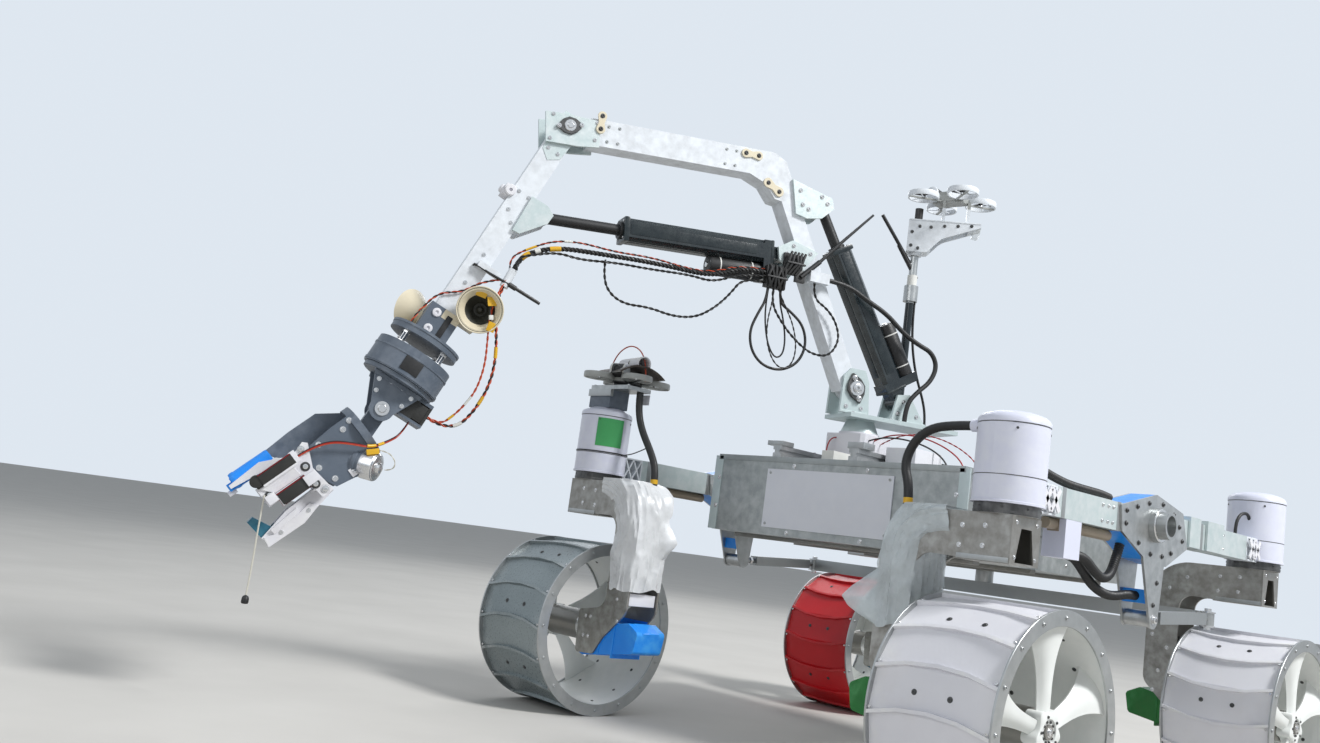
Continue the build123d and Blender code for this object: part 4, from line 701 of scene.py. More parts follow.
def paint_corner(corner, fore, side):
    tread = material(f"tread_{corner}", TREAD_FINISH[corner], lines=0.5, grain=0.2, scale=9.0, edge=0.9)
    paint(tread, f"tread_{corner}")
    at = placed(fore * AXLE_X, side * STEER_Y, 0)
    reach = sorted((-side * 53.8, -side * 214))
    cover = box_region((-34.3, reach[0], 100), (34.3, reach[1], 186), at)
    disc = box_region((-60, -60, 437.2), (60, 60, 460), at)
    regions = ((cover, COVER_FINISH[corner]), (disc, "dark_metal"))
    fork = material(f"fork_{corner}", "dull_metal", *regions, scale=20.0, grain=0.1, edge=0.7)
    paint(fork, f"fork_{corner}")


PLAIN = {
    # finish: the nodes that have it all over
    "pale_metal": ("rocker_beams", "turret_platform"),
    "aluminium": ("rocker_plates", "pivot_axles", "differential", "deck_rails", "chassis_frame"),
    "blue_print": ("rocker_cores",),
    "panel": ("chassis_tub", "end_panels", "deck_panel"),
    "white_print": ("electronics_boxes", "turret_housing"),
    "white_paint": ("boom_column", "boom_knee", "boom_tube"),
    "black_print": ("rotor_1", "rotor_2", "rotor_3", "rotor_4", "lift_rod", "curl_rod"),
}
LAYERED = {"lines": 0.5, "grain": 0.16}
ANODISED = {"grain": 0.05, "coat": 0.3, "edge": 0.35}
FINE_LAYERS = {"lines": 0.4}
PAINTED = (
    # node, material's name, finish, settings, regions of (finish, low corner, high corner, frame)
    ("steering_cans", "cans", "can_white", {"lines": 0.5, "grain": 0.12}, (
        ("pipe_brown", (148, BEAM_Y - 9.5, 430), (347, BEAM_Y + 9.5, 449), ROOT),
        ("pipe_brown", (148, -BEAM_Y - 9.5, 430), (347, -BEAM_Y + 9.5, 449), ROOT),
        ("white_paint", (349, -FAR, 448), (398, FAR, 495), ROOT),
        ("white_paint", (-398, -FAR, 448), (-349, FAR, 495), ROOT),
        ("pale_metal", (-240, -FAR, 440), (-90, FAR, 505), ROOT))),
    ("forearm_tube", "forearm", "white_paint", {}, (
        ("pale_metal", (-FAR, -FAR, 200), (FAR, -20.2, 300), ARM),
        ("pale_metal", (-FAR, 20.2, 160), (FAR, 27, 300), ARM))),
    ("boom_brackets", "brackets", "pale_metal", {}, (
        ("black_print", (120, 27.1, 190), (260, 45, 275), ARM),)),
    ("mast", "mast_tube", "aluminium", {}, (
        ("green_black", (-130, -60, 0), (-80, -20, 250), ARM),
        ("black_print", (-130, -60, 419.5), (-80, -20, 450), ARM),
        ("black_print", (-94, -60, 320), (0, -20, 430), ARM))),
    ("mast_drone", "drone", "white_paint", {}, (
        ("drone_grey", (-70, -70, -20), (70, 70, 45), MAST_DRONE),
        ("black_print", (24, -12, 1), (60, 12, 40), MAST_DRONE))),
    ("strapped_drone", "strapped_drone", "drone_grey", {}, (
        ("slate_print", (-FAR, -FAR, 500), (FAR, FAR, 617.9), ROOT),
        ("aluminium", (-FAR, -FAR, 617.9), (FAR, FAR, 626.1), ROOT),
        ("black_print", (-FAR, -FAR, 626.1), (FAR, FAR, 638.1), ROOT),
        ("leaf_brown", (-FAR, -FAR, 650.2), (FAR, FAR, 670.2), ROOT),
        ("white_print", (-FAR, -FAR, 670.2), (FAR, FAR, 720), ROOT),
        ("tape_white", (24, -16, 1), (60, 16, 40), CAN_DRONE),
        ("black_print", (24, -12, 1), (60, 12, 40), CAN_DRONE))),
    ("lift_cylinder", "lift_cylinder", "green_black", ANODISED, ()),
    ("curl_cylinder", "curl_cylinder", "green_black", ANODISED, ()),
    ("wrist_drum", "wrist_drum", "slate_print", LAYERED, (
        ("cream", (-46, -46, -4), (46, 46, 48), NEAR_HORN),
        ("cream", (-46, -46, 3), (46, 46, 48), FAR_HORN))),
    ("wrist_yoke", "wrist_yoke", "slate_print", LAYERED, (
        ("servo_black", (546, -20, -71), (578, 22, -23.9), FOREARM),)),
    ("hand_frame", "hand", "slate_print", LAYERED, ()),
    ("gripper_frame", "gripper", "white_print", FINE_LAYERS, (
        ("servo_black", (107.3, 11, 25.3), (167, 57, 43), HAND),
        ("servo_black", (109.3, 11, -19), (157, 57, 3.7), HAND))),
    ("jaw_lower", "lower_jaw", "white_print", FINE_LAYERS, (
        ("teal_print", (186, -22.1, -39.5), (220, 22.1, 0), HAND),)),
    ("jaw_upper", "upper_jaw", "white_print", FINE_LAYERS, (
        ("blue_print", (132, -19, 43.2), (201, 2.2, 64), HAND),)),
)

for corner, (fore, side) in CORNERS.items():
    paint_corner(corner, fore, side)
for finish, names in PLAIN.items():
    paint(M[finish], *names)
for node, name, finish, settings, regions in PAINTED:
    masks = [(box_region(lo, hi, where), other) for other, lo, hi, where in regions]
    paint(material(name, finish, *masks, **settings), node)


# Wheels: screws, and the spokes with their hub, liner and rings

TREAD_R = 155.0
PANELS = 16
HALF_DRUM = 92.0
LINER_R = 146.0
LINER_T = 4.0
LINER_SCREW_R = 142.2
RING_R = 160.0
RING_INNER_R = 138.5
RING_SCREW_R = 149.5
RING_T = 3.0
HUB_Y = 72.0
HUB_HALF = 12.0
HUB_R = 24.5
HUB_LOBE = 8.0
HUB_STEPS = 80
SHAFT_BORE = 10.3
SPOKES = 5
SPOKE_TWIST = -24.0
SPOKE_LEAN = 4.0
SPOKE_FOOT = 20.0
SPOKE_REACH = 124.0
SPOKE_SECTIONS = 14


def wheel_details(corner, fore, side):
    """Screws in the tread's panels and corners, in the rings, in the liner, and round the hub."""
    b = Build(placed(fore * AXLE_X, side * WHEEL_Y, WHEEL_R))
    half = WHEEL_W / 2
    panel_r = TREAD_R * cos(pi / PANELS)
    middles = [Vector((c, 0, s)) for c, s in circle(PANELS, 0.5)]
    corners = [Vector((c, 0, s)) for c, s in circle(PANELS)]
    for i, (out, corner_out) in enumerate(zip(middles, corners)):
        b.use("dark_metal")
        for y in (-27.0, 27.0) if i % 2 == 0 else ():
            b.bolt(out * panel_r + Vector((0, y, 0)), out, 2.8, 1.0)
        b.use("bright_metal")
        for y in (-half + 7, half - 7):
            b.bolt(corner_out * (WHEEL_R - 1.3) + Vector((0, y, 0)), corner_out, 2.2, 0.8, False)
        b.use("aluminium")
        for y in (half, -half):
            b.bolt(corner_out * RING_SCREW_R + Vector((0, y, 0)), (0, sign(y), 0), 2.6, 1.2)
        b.use("dark_metal")
        for y in (-55.0, 50.0):
            b.bolt(out * LINER_SCREW_R + Vector((0, y, 0)), -out, 2.2, 0.8)
    hub_face = side * (HUB_Y + HUB_HALF)
    b.use("dark_metal")
    for count, reach, sunk in ((10, 13.6, 2.5), (5, 21.0, 0.3)):
        spots = [(reach * c, reach * s) for c, s in circle(count)]
        b.side_bolts(spots, hub_face - side * sunk, 2.0, 1.8, False)
    b.use("bright_metal")
    b.bolt((0, hub_face, 0), (0, side, 0), 4.6, 2.0)
    b.piece(f"wheel_screws_{corner}", f"wheel_{corner}", slot="bare_metal")


def spoke_ring(r, turn):
    """One closed section of a spoke, at a radius, turned about the axle."""
    share = (r - SPOKE_FOOT) / SPOKE_REACH
    flare = share ** 3.2
    lead = 11.0 + 3.0 * share + 28.0 * flare
    trail = 10.0 + 3.0 * share + 24.0 * flare
    thick = 3.4 - 1.2 * share
    samples = 8
    near = []
    far = []
    for i in range(samples + 1):
        u = i / samples
        z = -trail + (lead + trail) * u
        camber = 7.0 * share * sin(pi * u) + 1.5
        edge = thick * (0.35 + 0.65 * sin(pi * min(max(u, 0.06), 0.94)))
        near.append((z, camber + edge))
        far.append((z, camber - edge))
    twist = radians(SPOKE_TWIST)
    angle = radians(turn)
    points = []
    for z, y in near + far[::-1]:
        across = z * cos(twist) - y * sin(twist)
        axial = z * sin(twist) + y * cos(twist)
        x = r * sin(angle) + across * cos(angle)
        points.append((x, HUB_Y + axial, r * cos(angle) - across * sin(angle)))
    return points


def spider_shape(corner, fore, side):
    """The wheel's spokes, hub, liner and rings, with the spokes pitched as the photograph shows them."""
    b = Build(placed(fore * AXLE_X, side * WHEEL_Y, WHEEL_R))
    b.use("white_spoke")
    inner = LINER_R - LINER_T
    shares = [(k / SPOKE_SECTIONS) ** 0.9 for k in range(SPOKE_SECTIONS + 1)]
    liner = ((0, LINER_R), (2 * HALF_DRUM, LINER_R), (2 * HALF_DRUM, inner), (0, inner), (0, LINER_R))
    b.lathe((0, -HALF_DRUM, 0), (0, 1, 0), liner, 96)
    for i in range(SPOKES):
        turn = SPOKE_LEAN + 360 * i / SPOKES
        b.bridge([spoke_ring(SPOKE_FOOT + SPOKE_REACH * share, turn) for share in shares])
    angles = [2 * pi * i / HUB_STEPS for i in range(HUB_STEPS)]

    def lobed(y, grow):
        place = []
        for a in angles:
            lobe = 0.5 + 0.5 * cos(SPOKES * (a - radians(SPOKE_LEAN + 180 / SPOKES)))
            r = HUB_R + HUB_LOBE * lobe ** 1.4 + grow
            place.append((r * sin(a), y, r * cos(a)))
        return place

    def round_at(y, r):
        return [(r * sin(a), y, r * cos(a)) for a in angles]

    low = HUB_Y - HUB_HALF
    high = HUB_Y + HUB_HALF
    outside = [lobed(low, -1), lobed(low + 1, 0), lobed(high - 3, 0), lobed(high - 1, -0.8),
               lobed(high, -2.6)]
    inside = [round_at(high, 17.5), round_at(high - 2.5, 16.5), round_at(high - 2.5, SHAFT_BORE),
              round_at(low, SHAFT_BORE)]
    b.bridge(outside + inside, loop=True)
    b.use("aluminium")
    soft = 0.4
    high = RING_T - soft
    ring = ((0, RING_R - soft), (soft, RING_R), (high, RING_R), (RING_T, RING_R - soft),
            (RING_T, RING_INNER_R + soft), (high, RING_INNER_R), (soft, RING_INNER_R),
            (0, RING_INNER_R + soft), (0, RING_R - soft))
    for y in (-HALF_DRUM - RING_T, HALF_DRUM):
        b.lathe((0, y, 0), (0, 1, 0), ring, 128)
    if side < 0:
        mirror_y(b)
    made = b.piece(f"wheel_spider_{corner}", f"wheel_{corner}", slot="white_print")
    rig.replaces(made, f"spider_{corner}")


for corner, (fore, side) in CORNERS.items():
    spider_shape(corner, fore, side)


# (distance inward, height) of the fork plates' bolts
FORK_BOLTS = ((-8, 419), (-44, 417), (-10, 391), (-47, 389), (-105, 408), (-138, 384), (-152, 330),
              (-166, 290), (-136, 268), (-150, 222), (-82, 182), (-68, 182), (-82, 146), (-68, 146),
              (-158, 184))
FORK_FACE = 38.0
SHAFT_Z = 160.0


def fork_details(corner, fore, side):
    """Bolts, the drive cover's ribs, the motor's clamp band and connectors, and the turntable's rim."""
    b = Build(placed(fore * AXLE_X, side * STEER_Y, 0))
    b.use("bright_metal")
    for y, z in FORK_BOLTS:
        for x in (-FORK_FACE, FORK_FACE):
            b.bolt((x, y, z), (sign(x), 0, 0), 2.6, 1.6)
    b.side_bolts([(x, z) for x in (-27, 27) for z in (380, 428)], 33, 2.2, 1.4)
    b.use("aluminium")
    for x in (-37.0, 37.0):
        b.box(x - 1.8, x + 1.8, -50, 31.5, 371, 378, 0.3)
    b.use(COVER_FINISH[corner])
    for y in (-78, -112, -150):
        b.box(-35.2, 35.2, y - 2, y + 2, 116, 178.8, 0.8)
    b.plate(((-206, 140), (-213.4, 170), (-184, 184.6), (-176, 176), (-198, 150)), "x", -20, 20, 0.8)
    b.use("dark_metal")
    b.side_bolts([(21 * c, SHAFT_Z + 21 * s) for c, s in circle(6)], 14.8, 2.0, 1.4, False)
    b.use("bright_metal")
    b.ring((0, -40, SHAFT_Z), (0, 1, 0), 28.8, 27.9, 10)
    b.use("black_print")
    b.box(-22, 22, -172, -138, 246, 292, 1.5)
    b.use("white_print")
    b.box(-32, 32, -176, -134, 214, 236, 2.0)
    b.use("dark_metal")
    b.ring((0, 0, 439), (0, 0, 1), 46.6, 45.9, 3.2, 48)
    for c, s in circle(8, 0.5):
        b.bolt((46.0 * c, 46.0 * s, 446.5), (c, s, 0), 1.8, 0.8, False)
    if side < 0:
        mirror_y(b)
    b.piece(f"fork_fittings_{corner}", f"steer_{corner}", slot="bare_metal")


for corner, (fore, side) in CORNERS.items():
    wheel_details(corner, fore, side)
    fork_details(corner, fore, side)


# Steering cans: lid and body seams, vent dot, base flange, and the blank green note on the front right one

# (height over the can's top, radius)
CAN_LID = ((-5.4, 49.7), (-5.0, 50.9), (0.4, 50.6), (4.2, 48.0), (7.6, 43.6), (10.4, 36.0), (12.3, 24.0),
           (12.6, 0.0))
CAN_RIM = CAN_LID[:3] + ((4.2, 48.0), (4.2, 46.0))
CAN_FLANGE = ((-0.1, 47), (0, 51.2), (3, 51.2), (3.8, 49.8))
VENT = ((0, 2.2), (0.7, 2.0), (0.7, 0.0))


def can_details(corner, fore, side):
    b = Build(placed(fore * AXLE_X, side * STEER_Y, 0))
    strapped = corner == "fr"
    b.use("dark_metal")
    for z in (CAN_TOP - 6.6, CAN_BOTTOM + 38):
        b.ring((0, 0, z), (0, 0, 1), 50.25, 49.6, 1.2, 64)
    b.use("can_white")
    b.lathe((0, 0, CAN_TOP), (0, 0, 1), CAN_RIM if strapped else CAN_LID, 64)
    if not strapped:
        b.use("black_print")
        b.lathe((18, 8, CAN_TOP + 12.3), (0.1, 0.05, 1), VENT, 16)
    b.use("can_white")
    b.lathe((0, 0, CAN_BOTTOM), (0, 0, 1), CAN_FLANGE, 64)
    b.use("dark_metal")
    for c, s in circle(4, 0.4):
        b.bolt((50.1 * c, 50.1 * s, CAN_TOP - 14), (c, s, 0), 1.9, 0.9, False)
    if strapped:
        b.use("rubber")
        b.ring((0, 0, CAN_BOTTOM + 40), (0, 0, 1), 51.4, 50.0, 2.2, 64)
    b.piece(f"can_trim_{corner}", "chassis", slot="white_print")


for corner, (fore, side) in CORNERS.items():
    can_details(corner, fore, side)

NOTE_COLUMNS = 10
NOTE_ROWS = 6
NOTE_FROM = 32.0
NOTE_SPREAD = 62.0
NOTE_FOOT = 504.0
NOTE_H = 55.0


def note_details():
    """A blank green note round the can, with its upper corners lifted."""
    note = Build(placed(AXLE_X, -STEER_Y, 0))
    note.use("note_green")
    rows = []
    for row in range(NOTE_ROWS + 1):
        line = []
        for column in range(NOTE_COLUMNS + 1):
            a = radians(NOTE_FROM + NOTE_SPREAD * column / NOTE_COLUMNS)
            z = NOTE_FOOT + NOTE_H * row / NOTE_ROWS
            lift = 1.6 * max(0.0, row / NOTE_ROWS - 0.6) * abs(column / NOTE_COLUMNS - 0.5)
            r = CAN_R + 0.5 + lift
            line.append(note.mesh.verts.new((r * cos(a), r * sin(a), z)))
        rows.append(line)
    skin(note.mesh, rows, closed=False)
    note.piece("blank_note", "chassis")


note_details()


# Rockers: bracket lattice, plate bolts, bearing collars, joint straps

PLATE_BOLTS = ((105, 12), (105, -8), (70, 22), (58, -34), (30, 32), (-20, 36), (-62, 24), (-86, 6),
               (-100, -16), (-60, -40), (-28, -48), (14, -48), (-16, -92), (-8, -128))
LEG_FOOT_Z = -151.0
BALL_X = -282.0
BALL_Z = 333.0 - BEAM_Z


def lattice_details():
    """Broad crossed strips on the brackets between the beams and the steering cans."""
    b = Build()
    b.use("white_print")
    for side, fore, cell, lean in product((1, -1), (1, -1), (363.5, 387.5), (55.0, -55.0)):
        x = fore * cell
        y = side * (BEAM_Y + 25.2)
        b.box(x - 20, x + 20, y - 1.1, y + 1.1, BEAM_Z - 4.2, BEAM_Z + 4.2, 0.4, (0, lean, 0))
    b.piece("bracket_lattice", "chassis", slot="white_print")


lattice_details()


def rocker_details(side):
    """The plate's bolts and bearing, the beam's straps, the rod end and the differential's ball joint."""
    b = Build(placed(PIVOT_X, 0, BEAM_Z))
    face = BEAM_Y + 24
    b.use("dark_metal")
    b.side_bolts(PLATE_BOLTS, face)
    b.use("bright_metal")
    b.lathe((0, face + 9, 0), (0, 1, 0), ((0, 27), (1.2, 26), (1.2, 22.4), (0, 22.4)), 40)
    b.side_bolts([(27 * c * 0.9, 27 * s * 0.9) for c, s in circle(4, 0.5)], face + 9, 1.8, 1.0, False)
    b.use("aluminium")
    for x0, x1 in ((118, 128), (290, 300), (-190, -182)):
        b.box(x0, x1, BEAM_Y - 20.6, BEAM_Y + 20.6, -22.6, 22.6, 0.4)
    b.use("bright_metal")
    b.side_bolts(product((142, 158, 176, -140, -262, -276), (-12, 12)), BEAM_Y + 20, 2.4, 1.4)
    b.bolt((-14, face, LEG_FOOT_Z), (0, 1, 0), 6.0, 4.0)
    b.ring((-62, BEAM_Y, LEG_FOOT_Z + 4), (1, 0, -0.04), 8.0, 5.0, 6.0, 6)
    b.ring((BALL_X, BEAM_Y, BALL_Z + 11), (0, 0, 1), 13.0, 3.0, 2.4)
    b.bolt((BALL_X, BEAM_Y, BALL_Z + 13.4), (0, 0, 1), 6.0, 5.0)
    b.ring((BALL_X, BEAM_Y, BALL_Z - 13.4), (0, 0, 1), 13.0, 3.0, 2.4)
    b.bolt((BALL_X, BEAM_Y, BALL_Z - 13.4), (0, 0, -1), 6.0, 5.0)
    if side < 0:
        mirror_y(b)
    b.piece("rocker_bolts_" + ("left" if side > 0 else "right"), "chassis", slot="bare_metal")


for side in (1, -1):
    rocker_details(side)


# Chassis: panel screws, corner strips, deck lip, blank board, and the lids and small boxes on the deck

CHASSIS_SIDE = 277.0
DECK_LID_T = 1.5
RAIL_TOP = 544.0
ON_DECK = DECK_TOP + 0.2
DECK_BOXES = (
    # finish, x0, x1, y0, y1, z0, z1, bevel
    ("aluminium", 255, 287, -158, -120, RAIL_TOP, 553, 1.0),
    ("aluminium", 252, 284, 30, 66, RAIL_TOP, 556, 1.0),
    ("tape_white", 200, 268, -40, -12, ON_DECK, 541, 2.0),
    ("white_print", 132, 214, 62, 126, ON_DECK, 558, 2.0),
    ("servo_black", -20, 14, 60, 150, ON_DECK, 540, 2.0),
    ("servo_black", 60, 120, 70, 120, ON_DECK, 544, 2.0),
)


def chassis_details():
    """Corner strips, the deck's lip, screws, the blank board and straps under the tub."""
    b = Build()
    front = CHASSIS_FRONT
    b.use("pale_metal")
    for side in (1, -1):
        b.box(front - 1, front + 1.6, side * CHASSIS_SIDE - 10, side * CHASSIS_SIDE + 10, 376.5, 519, 0.4)
        b.box(-front - 1.6, -front + 1, side * 268 - 9, side * 268 + 9, 376.5, 519, 0.4)
    b.use("panel")
    lips = ((-289, 289, 276, 278.4), (-289, 289, -278.4, -276),
            (286, 288.6, -278, 278), (-288.6, -286, -278, 278))
    for lip in lips:
        b.box(*lip, DECK_TOP - 10, DECK_TOP + 0.4, 0.4)
    b.use("bright_metal")
    screws = ((-85, 506), (82, 506), (-272, 477), (-273, 422), (-86, 383), (82, 383), (265, 475), (265, 422))
    for y, z in screws:
        b.bolt((front + 1.6 if abs(y) > 250 else front, y, z), (1, 0, 0), 3.0, 1.8)
        b.bolt((-front, y, z), (-1, 0, 0), 3.0, 1.8)
    for side in (1, -1):
        spots = product((-262, -153, -235, -60, 60, 160, 262), (392, 505))
        b.side_bolts(spots, side * CHASSIS_SIDE, 2.6, 1.6)
    b.use("paper")
    board_face = front + 2.4
    b.box(front + 0.2, board_face, -147, 141, 390, 499, 0.5)
    b.use("aluminium")
    for y, z in product((-139, 133), (397, 492)):
        b.bolt((board_face, y, z), (1, 0, 0), 2.0, 1.0)
    b.use("dull_metal")
    for x in (-200, 40, 220):
        b.box(x - 9, x + 9, -270, 270, 368.5, 376, 0.6)
    b.piece("chassis_fittings", "chassis", slot="white_panel")


def deck_details():
    """The boxes' lids, the rails' screws and the small boxes on the deck."""
    d = Build()
    for x0, x1, y0, y1, top in ((20, 100, -60, 20, 565), (-230, -70, -110, 90, 558)):
        d.use("white_print")
        d.box(x0 - 2, x1 + 2, y0 - 2, y1 + 2, top - 5, top + DECK_LID_T, 1.5)
        d.use("dark_metal")
        d.top_bolts(product((x0 + 6, x1 - 6), (y0 + 6, y1 - 6)), top + DECK_LID_T, 2.2, 1.0, False)
    d.use("bright_metal")
    d.top_bolts(product((0, 90, 180, 270), (-132, 47)), RAIL_TOP, 3.2, 2.0)
    for finish, *box in DECK_BOXES:
        d.use(finish)
        d.box(*box)
    d.piece("deck_fittings", "chassis", slot="white_print")


chassis_details()
deck_details()


# Turret: bearing flange, platform and bracket screws, and the mast's collar, brace and bolts

TURRET_CHEEK = 27.6


def rhombus(wide, tall, shoulder, lift):
    """A diamond with cut sides, as (across, up) points from its top corner."""
    left = [(0, tall), (-shoulder, lift), (-wide, 0), (-shoulder, -lift)]
    return left + [(-x, -z) for x, z in left]


def turret_details():
    b = Build(ARM)
    b.use("dark_metal")
    flange = [(34 + x * 0.94 + z * 0.34, 48 + z * 0.94 - x * 0.34) for x, z in rhombus(19, 30, 14, 14)]
    b.plate(flange, "y", 27.5, 33.5, 1.0)
    b.use("bright_metal")
    b.lathe((34, 33.5, 48), (0, 1, 0), ((0, 15), (2, 14), (2, 9), (4, 9), (5, 7), (5, 3), (2, 3)), 32)
    b.side_bolts(((40.5, 66.5), (27.5, 29.5)), 33.5, 4.0, 3.5)
    b.top_bolts(product((-178, -140, -40, 42), (-43, 43)), 0, 2.6, 1.8)
    b.use("pale_metal")
    b.box(4, 60, 22, 27.8, 0.0, 5.0, 0.6)
    b.box(-125, -50, 22, 27.8, 0.0, 5.0, 0.6)
    b.use("bright_metal")
    for face in (TURRET_CHEEK, -TURRET_CHEEK):
        b.side_bolts(((-104, 16), (-62, 16), (-73, 40), (18, 12), (50, 12)), face)
    b.piece("turret_bolts", "turret", slot="bare_metal")
    m = Build(ARM)
    m.use("tape_white")
    m.ring((*MAST, 285), (0, 0, 1), 9.6, 8.0, 22, 24)
    m.use("black_print")
    m.rod((-112, -38, 302), (-64, -38, 363), 4.4, 12)
    m.use("dark_metal")
    for z in (360, 405):
        m.bolt((MAST[0] + 6, MAST[1] + 18, z), (0.2, 1, 0), 2.4, 1.4)
    m.piece("mast_fittings", "turret", slot="white_panel")


turret_details()


DRONE_ARM = hypot(42, 42)
DUCT_LIP = ((-5.2, 27.6), (-5.4, 30.4), (-3.0, 30.9), (3.4, 30.9), (5.4, 30.2), (5.6, 28.6), (4.4, 27.6),
            (-5.2, 27.6))
STRUT_Z = -3.6


def drone_details(where, name, body_name, duct_finish):
    """Duct lips with their struts and motors, a body with its battery, a lens and two side discs."""
    d = Build(where)
    for i in range(4):
        a = radians(45 + 90 * i)
        centre = Vector((DRONE_ARM * cos(a), DRONE_ARM * sin(a), 0))
        d.use(duct_finish)
        d.lathe(centre, (0, 0, 1), DUCT_LIP, 40)
        for k in range(3):
            c = a + radians(60 + 120 * k)
            spoke = Vector((cos(c), sin(c), 0))
            level = centre + Vector((0, 0, STRUT_Z))
            d.rod(level + spoke * 4, level + spoke * 28, 1.1, 8)
        d.use("bright_metal")
        d.lathe(centre + Vector((0, 0, STRUT_Z - 1)), (0, 0, 1), ((0, 4.6), (2.6, 4.6), (3.2, 4.2)), 20)
    d.use("drone_grey")
    d.box(-31, 30, -13, 13, 11, 16, 1.6)
    d.box(-26, 22, -16.4, 16.4, -6, 9, 1.6)
    d.use("black_print")
    d.lathe((50.6, 0, 15), (1, 0, 0), ((0, 8.5), (1.6, 8.0), (1.6, 6.2), (0.4, 5.8), (0.9, 0)), 24)
    d.use("white_paint")
    for side in (1, -1):
        d.lathe((38, side * 15, 15), (0, side, 0), ((0, 13.2), (1.6, 12.4), (3.0, 9.0), (3.2, 0)), 28)
    d.piece(name, body_name, slot="white_print")


drone_details(MAST_DRONE, "mast_drone_trim", "turret", "white_paint")
drone_details(CAN_DRONE, "strapped_drone_trim", "chassis", "drone_grey")


def strap_details():
    """The card under the strapped drone's tray, the tray's screws, and the pedestal's silver clips."""
    s = Build(placed(AXLE_X, -STEER_Y, 0))
    s.use("paper")
    s.box(-34, -33, 62, 82, 596, 616, 0.2)
    s.use("bright_metal")
    s.top_bolts(((-28, -26), (20, -26), (-28, 76), (20, 76)), 626, 2.4, 1.6)
    s.use("aluminium")
    s.box(20, 28, -34, 34, 604, 618, 0.6)
    s.box(-34, 26, -36, -28, 606, 617.8, 0.6)
    s.piece("strap_and_card", "chassis", slot="bare_metal")


strap_details()


def gusset_details():
    """The mast bracket's screws, top edge, collar and the clear cover at its end."""
    g = Build(GUSSET)
    g.use("dark_metal")
    for face in (-18, 18):
        g.side_bolts(((-10, 12), (-10, 40), (26, 52), (52, 56), (78, 58), (104, 60)), face, 2.4, 1.2)
    g.use("white_paint")
    g.box(-18, 122, -19, 19, 64.5, 67, 0.8)
    g.ring((0, 0, -6), (0, 0, 1), 13, 8.4, 6, 32)
    g.use("clear_film")
    g.box(108, 121, -15, 15, 40, 64, 3.0, (4, 10, 6))
    g.piece("gusset_screws", "turret", slot="white_print")


gusset_details()


# Boom: splice plates, pivot bolts, an antenna and the clip block's wires

BOOM_CHEEK = 27.0
BOOM_SIDE = 21.0
SPLICE_T = 3.0
ARC_STEPS = 8
# (spots, bolt radius, bolt height) on each cheek
CHEEK_BOLTS = (
    (((604, 424), (604, 392), (684, 420), (684, 376)), 2.6, 1.8),
    (((150, 396), (137, 385), (188, 372), (196, 398), (175, 366)), 3.2, 2.2),
    (((208, 273), (160, 282), (184, 252), (196, 290)), 3.0, 2.2),
)
# the antenna's whip, in the arm's frame
WHIP = ((169, 36, 242), (143, 36, 269), (97, 36, 322), (42, 36, 383))
WHIP_R = (3.4, 3.2, 3.0, 2.2)


def splice(b, p, q, n, finish, r=8.5):
    """A dog-bone plate with two bolts."""
    start = Vector((p[0], 0, p[1]))
    end = Vector((q[0], 0, q[1]))
    run = end - start
    along = run.normalized()
    across = Vector((run.z, 0, -run.x)).normalized()
    arcs = [(r * cos(pi * k / ARC_STEPS), r * sin(pi * k / ARC_STEPS)) for k in range(ARC_STEPS + 1)]
    waist = across * r * 0.62
    outline = [start + across * c - along * s for c, s in arcs] + [start + run * 0.5 - waist]
    outline += [end - across * c + along * s for c, s in arcs] + [start + run * 0.5 + waist]
    face = n + SPLICE_T * sign(n)
    b.use(finish)
    b.plate([(v.x, v.z) for v in outline], "y", *sorted((n, face)), 0.5)
    b.use("dark_metal")
    b.side_bolts((p, q), face)


